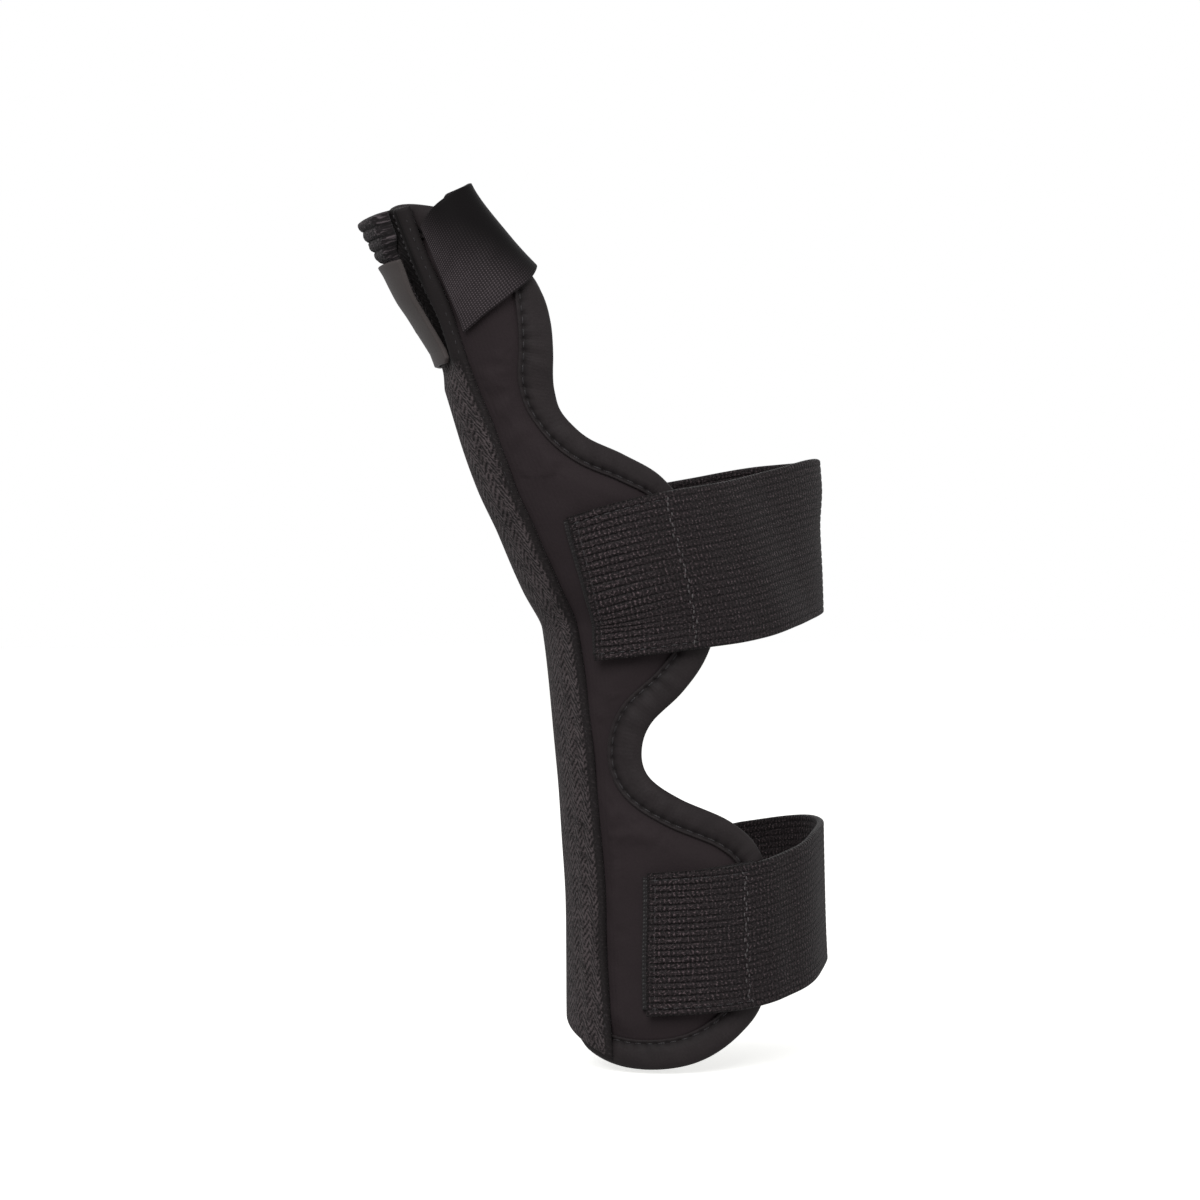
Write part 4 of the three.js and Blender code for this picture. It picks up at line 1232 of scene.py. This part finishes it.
def thumb_pile(name, sizes):
    """Loop strip with four thick cross ribs where it is bare."""
    rows, columns = np.meshgrid(edged(1.0, 150, 0.01), edged(1.0, 90, 0.015), indexing="ij")
    z = mix(PILE_FOOT, PILE_TOP, rows) * HEIGHT
    share = z / HEIGHT
    edge = mix(0.1, 0.22, smooth((share - TAB_TOP) / 0.02))
    bare = smooth((share - TAB_TOP + 0.002) / 0.006)
    place = (share - TAB_TOP) / (PILE_TOP - TAB_TOP) * PILE_RIBS
    wave = np.sqrt(np.abs(np.sin(math.pi * place)))
    left = -0.72 - 0.03 * bare * (wave - 0.7)
    s = mix(left, edge, columns) * SLEEVE_WIDTH
    base = band_height(s, z, sizes) + LAYER_GAP
    width = (edge - left) * SLEEVE_WIDTH
    length = (PILE_TOP - PILE_FOOT) * HEIGHT
    near = border_distance(length, width, rows * length, columns * width)
    fuzz = 0.04 * ripples(s, z, 1.7, 51, 15) + 0.04 * ripples(s, z, 0.8, 52, 15)
    ribs = bare * (0.9 * (wave - 0.9) + fuzz)
    outer = base + (pile_depth(z) + ribs) * rounding(near, 0.8)
    # hollow_share is painted shade in the gaps between the bare ribs.
    return slab(name, s, z, base, outer, z, s, {"hollow_share": bare * (1 - wave)})


def tab_heights(s, z, sizes):
    strap = bpy.context.scene.splint_straps.thumb_thickness / MM
    over_strap = ON_PANEL + strap + LAYER_GAP
    on_pile = np.clip((z / HEIGHT - TAB_REST) / (PILE_FOOT - 0.005 - TAB_REST), 0, 1)
    cover = over_strap - 0.8 * smooth((s / SLEEVE_WIDTH + 0.8) / 0.12)
    band = band_height(s, z, sizes) + LAYER_GAP + on_pile * (pile_depth(z) + 0.9 * LAYER_GAP)
    return np.maximum(band, cover)


def thumb_tab(name, sizes):
    """Smooth thin tab with cut corners: on the strap's end, then on the loop strip."""
    rows, columns = np.meshgrid(edged(1.0, 110, 0.01), edged(1.0, 80, 0.01), indexing="ij")
    z = mix(TAB_FOOT, TAB_TOP - 0.004, rows) * HEIGHT
    right = 0.3 - 0.08 * np.sin(math.pi * rows)
    cut = np.clip(1 - rows / 0.05, 0, 1) * 0.06
    s = mix(-1.15, right - cut, columns) * SLEEVE_WIDTH
    lift = tab_heights(s, z, sizes)
    length, width = (TAB_TOP - TAB_FOOT) * HEIGHT, (right + 1.15) * SLEEVE_WIDTH
    near = border_distance(length, width, rows * length, columns * width)
    curl = 0.3 * smooth((rows - 0.86) / 0.14) ** 2
    full = TAB_THICKNESS * rounding(near, 0.3)
    return slab(name, s, z, lift + curl, lift + curl + full, z, s)


# Operators.

class SPLINT_OT_panels(bpy.types.Operator):
    """Build the two padded panels"""

    bl_idname = "splint.panels"
    bl_label = "Padded panels"

    def execute(self, context):
        sizes = context.scene.splint_cloth
        material = finish_of(laminated_knit, "panel")
        for name, side in (("dorsal_panel", 1), ("volar_panel", -1)):
            made = padded_panel(name + "_padding", side, sizes)
            dress(made, material, [name])
        return {"FINISHED"}


class SPLINT_OT_binding(bpy.types.Operator):
    """Build the binding round the panels and its stitches"""

    bl_idname = "splint.binding"
    bl_label = "Edge binding"

    def execute(self, context):
        sizes = context.scene.splint_cloth
        made = edge_binding("edge_binding_tape", sizes)
        dress(made, finish_of(stretch_binding, "binding"), ["edge_binding"])
        binding_stitches(finish_of(sewing_thread, "thread"), sizes)
        return {"FINISHED"}


class SPLINT_OT_band(bpy.types.Operator):
    """Build the webbing band over the seam and its stitches"""

    bl_idname = "splint.band"
    bl_label = "Seam band"

    def execute(self, context):
        sizes = context.scene.splint_cloth
        made = stay_sleeve("stay_sleeve_webbing", sizes)
        dress(made, finish_of(herringbone, "webbing"), ["stay_sleeve"])
        sleeve_stitches(finish_of(sewing_thread, "thread"), sizes)
        return {"FINISHED"}


class SPLINT_OT_straps(bpy.types.Operator):
    """Build the wrist and forearm straps, their hook patches and stitches"""

    bl_idname = "splint.straps"
    bl_label = "Wide straps"

    def execute(self, context):
        sizes = context.scene.splint_straps
        thread = finish_of(sewing_thread, "thread")
        elastic = finish_of(ribbed_elastic, "elastic")
        for key in ("wrist", "forearm"):
            strap = strap_table(sizes)[key]
            node = key + "_strap"
            made, length = strap_band(node + "_elastic", strap, 120, sizes.rib_count * 7)
            apply_tree(made, rib_tree(), {
                "Ribs": float(sizes.rib_count), "Depth": sizes.rib_height, "Material": elastic})
            made.data.shade_smooth()
            dress(made, elastic, [node])
            hook_patch(key + "_hook_patch", strap, finish_of(hook_tape, "hook"))
            strap_stitches(key, strap, thread, finish_of(sewing_thread, "worn_thread"))
        return {"FINISHED"}


class SPLINT_OT_thumb_closure(bpy.types.Operator):
    """Build the thumb strap, its loop strip and its closing tab"""

    bl_idname = "splint.thumb_closure"
    bl_label = "Thumb closure"

    def execute(self, context):
        sizes = context.scene.splint_cloth
        strap = strap_table(context.scene.splint_straps)["thumb"]
        made, length = strap_band("thumb_strap_elastic", strap, 120, 50)
        dress(made, finish_of(fine_elastic, "fine_elastic"), ["thumb_strap"])
        pile = thumb_pile("thumb_loop_strip", sizes)
        dress(pile, finish_of(loop_pile, "pile"), ["thumb_pile_strip"])
        tab = thumb_tab("thumb_closing_tab", sizes)
        dress(tab, finish_of(coated_tab, "tab"), ["thumb_hook_tab"])
        return {"FINISHED"}


class SPLINT_OT_studio(bpy.types.Operator):
    """Build the pale floor, the soft lights and the camera"""

    bl_idname = "splint.studio"
    bl_label = "Studio"

    def execute(self, context):
        scene = context.scene
        stage = scene.splint_studio
        low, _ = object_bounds()
        height = low.z - stage.floor_drop
        reach = 6.0
        corners = np.array([(-reach, -reach), (reach, -reach), (reach, reach), (-reach, reach)])
        points = np.column_stack([corners, np.full(4, height)]) / MM
        floor = new_mesh("studio_floor", points, np.array([[0, 1, 2, 3]]))
        paint = painted(tuple(stage.floor))
        shader = paint.node_tree.nodes["Principled BSDF"]
        shader.inputs["Emission Color"].default_value = tuple(stage.floor)
        shader.inputs["Emission Strength"].default_value = stage.floor_glow
        floor.data.materials.append(paint)
        floor.visible_diffuse = floor.visible_glossy = False
        floor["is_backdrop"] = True
        self.lights(scene, stage)
        self.camera(scene, stage)
        return {"FINISHED"}

    def lights(self, scene, stage):
        """Three large soft lights, even light from all round and a white backdrop."""
        aim = Vector((-0.02, 0, 0))
        for name, place, size, power in (
                ("key_light", (-0.75, -0.75, 0.65), 0.8, stage.key_power),
                ("fill_light", (0.75, -0.85, 0.15), 0.9, stage.fill_power),
                ("back_light", (0.55, 0.9, 0.5), 0.9, stage.back_power)):
            data = bpy.data.lights.new(name, "AREA")
            data.shape = "DISK"
            data.size = size
            data.energy = power
            light = bpy.data.objects.new(name, data)
            light.location = place
            light.rotation_euler = (aim - Vector(place)).to_track_quat("-Z", "Y").to_euler()
            scene.collection.objects.link(light)
        world = bpy.data.worlds.new("studio_world")
        world.use_nodes = True
        tree = world.node_tree
        background = tree.nodes["Background"]
        background.inputs["Color"].default_value = linear("#ffffff")
        ray = add(tree, "LightPath", out="Is Camera Ray")
        strength = add(tree, "Math MULTIPLY_ADD", ray, 1 - stage.ambient, stage.ambient)
        tree.links.new(strength, background.inputs["Strength"])
        scene.world = world
        scene.view_settings.view_transform = "Standard"

    def camera(self, scene, stage):
        data = bpy.data.cameras.new("camera")
        data.sensor_width = 36
        data.lens = stage.lens
        data.clip_start, data.clip_end = 0.01, 50
        camera = bpy.data.objects.new("camera", data)
        camera.location = (-0.3950, -0.6379, -0.00487)
        aim = Vector((-0.02004, 0.01157, -0.00487))
        camera.rotation_euler = (aim - camera.location).to_track_quat("-Z", "Y").to_euler()
        scene.collection.objects.link(camera)
        scene.camera = camera


class SPLINT_PT_parts(bpy.types.Panel):
    """Sizes, colours and pieces of the splint"""

    bl_idname = "SPLINT_PT_parts"
    bl_label = "Thumb spica splint"
    bl_space_type = "VIEW_3D"
    bl_region_type = "UI"
    bl_category = "Splint"

    def draw(self, context):
        for name, group in GROUPS.items():
            box = self.layout.box()
            box.label(text=group.__doc__)
            for key in group.__annotations__:
                box.prop(getattr(context.scene, name), key)
        for operator in OPERATORS:
            self.layout.operator(operator.bl_idname)


GROUPS = {
    "splint_cloth": SPLINT_cloth, "splint_straps": SPLINT_straps, "splint_stitches": SPLINT_stitches,
    "splint_colours": SPLINT_colours, "splint_studio": SPLINT_studio,
}
OPERATORS = (
    SPLINT_OT_panels, SPLINT_OT_binding, SPLINT_OT_band, SPLINT_OT_straps, SPLINT_OT_thumb_closure,
    SPLINT_OT_studio,
)


def register():
    for cls in (*GROUPS.values(), *OPERATORS, SPLINT_PT_parts):
        bpy.utils.register_class(cls)
    for name, group in GROUPS.items():
        setattr(bpy.types.Scene, name, bpy.props.PointerProperty(type=group))


def unregister():
    for name in GROUPS:
        delattr(bpy.types.Scene, name)
    for cls in reversed((*GROUPS.values(), *OPERATORS, SPLINT_PT_parts)):
        bpy.utils.unregister_class(cls)


def main():
    register()
    for operator in OPERATORS:
        group, name = operator.bl_idname.split(".")
        getattr(getattr(bpy.ops, group), name)()


if __name__ == "__main__":
    main()
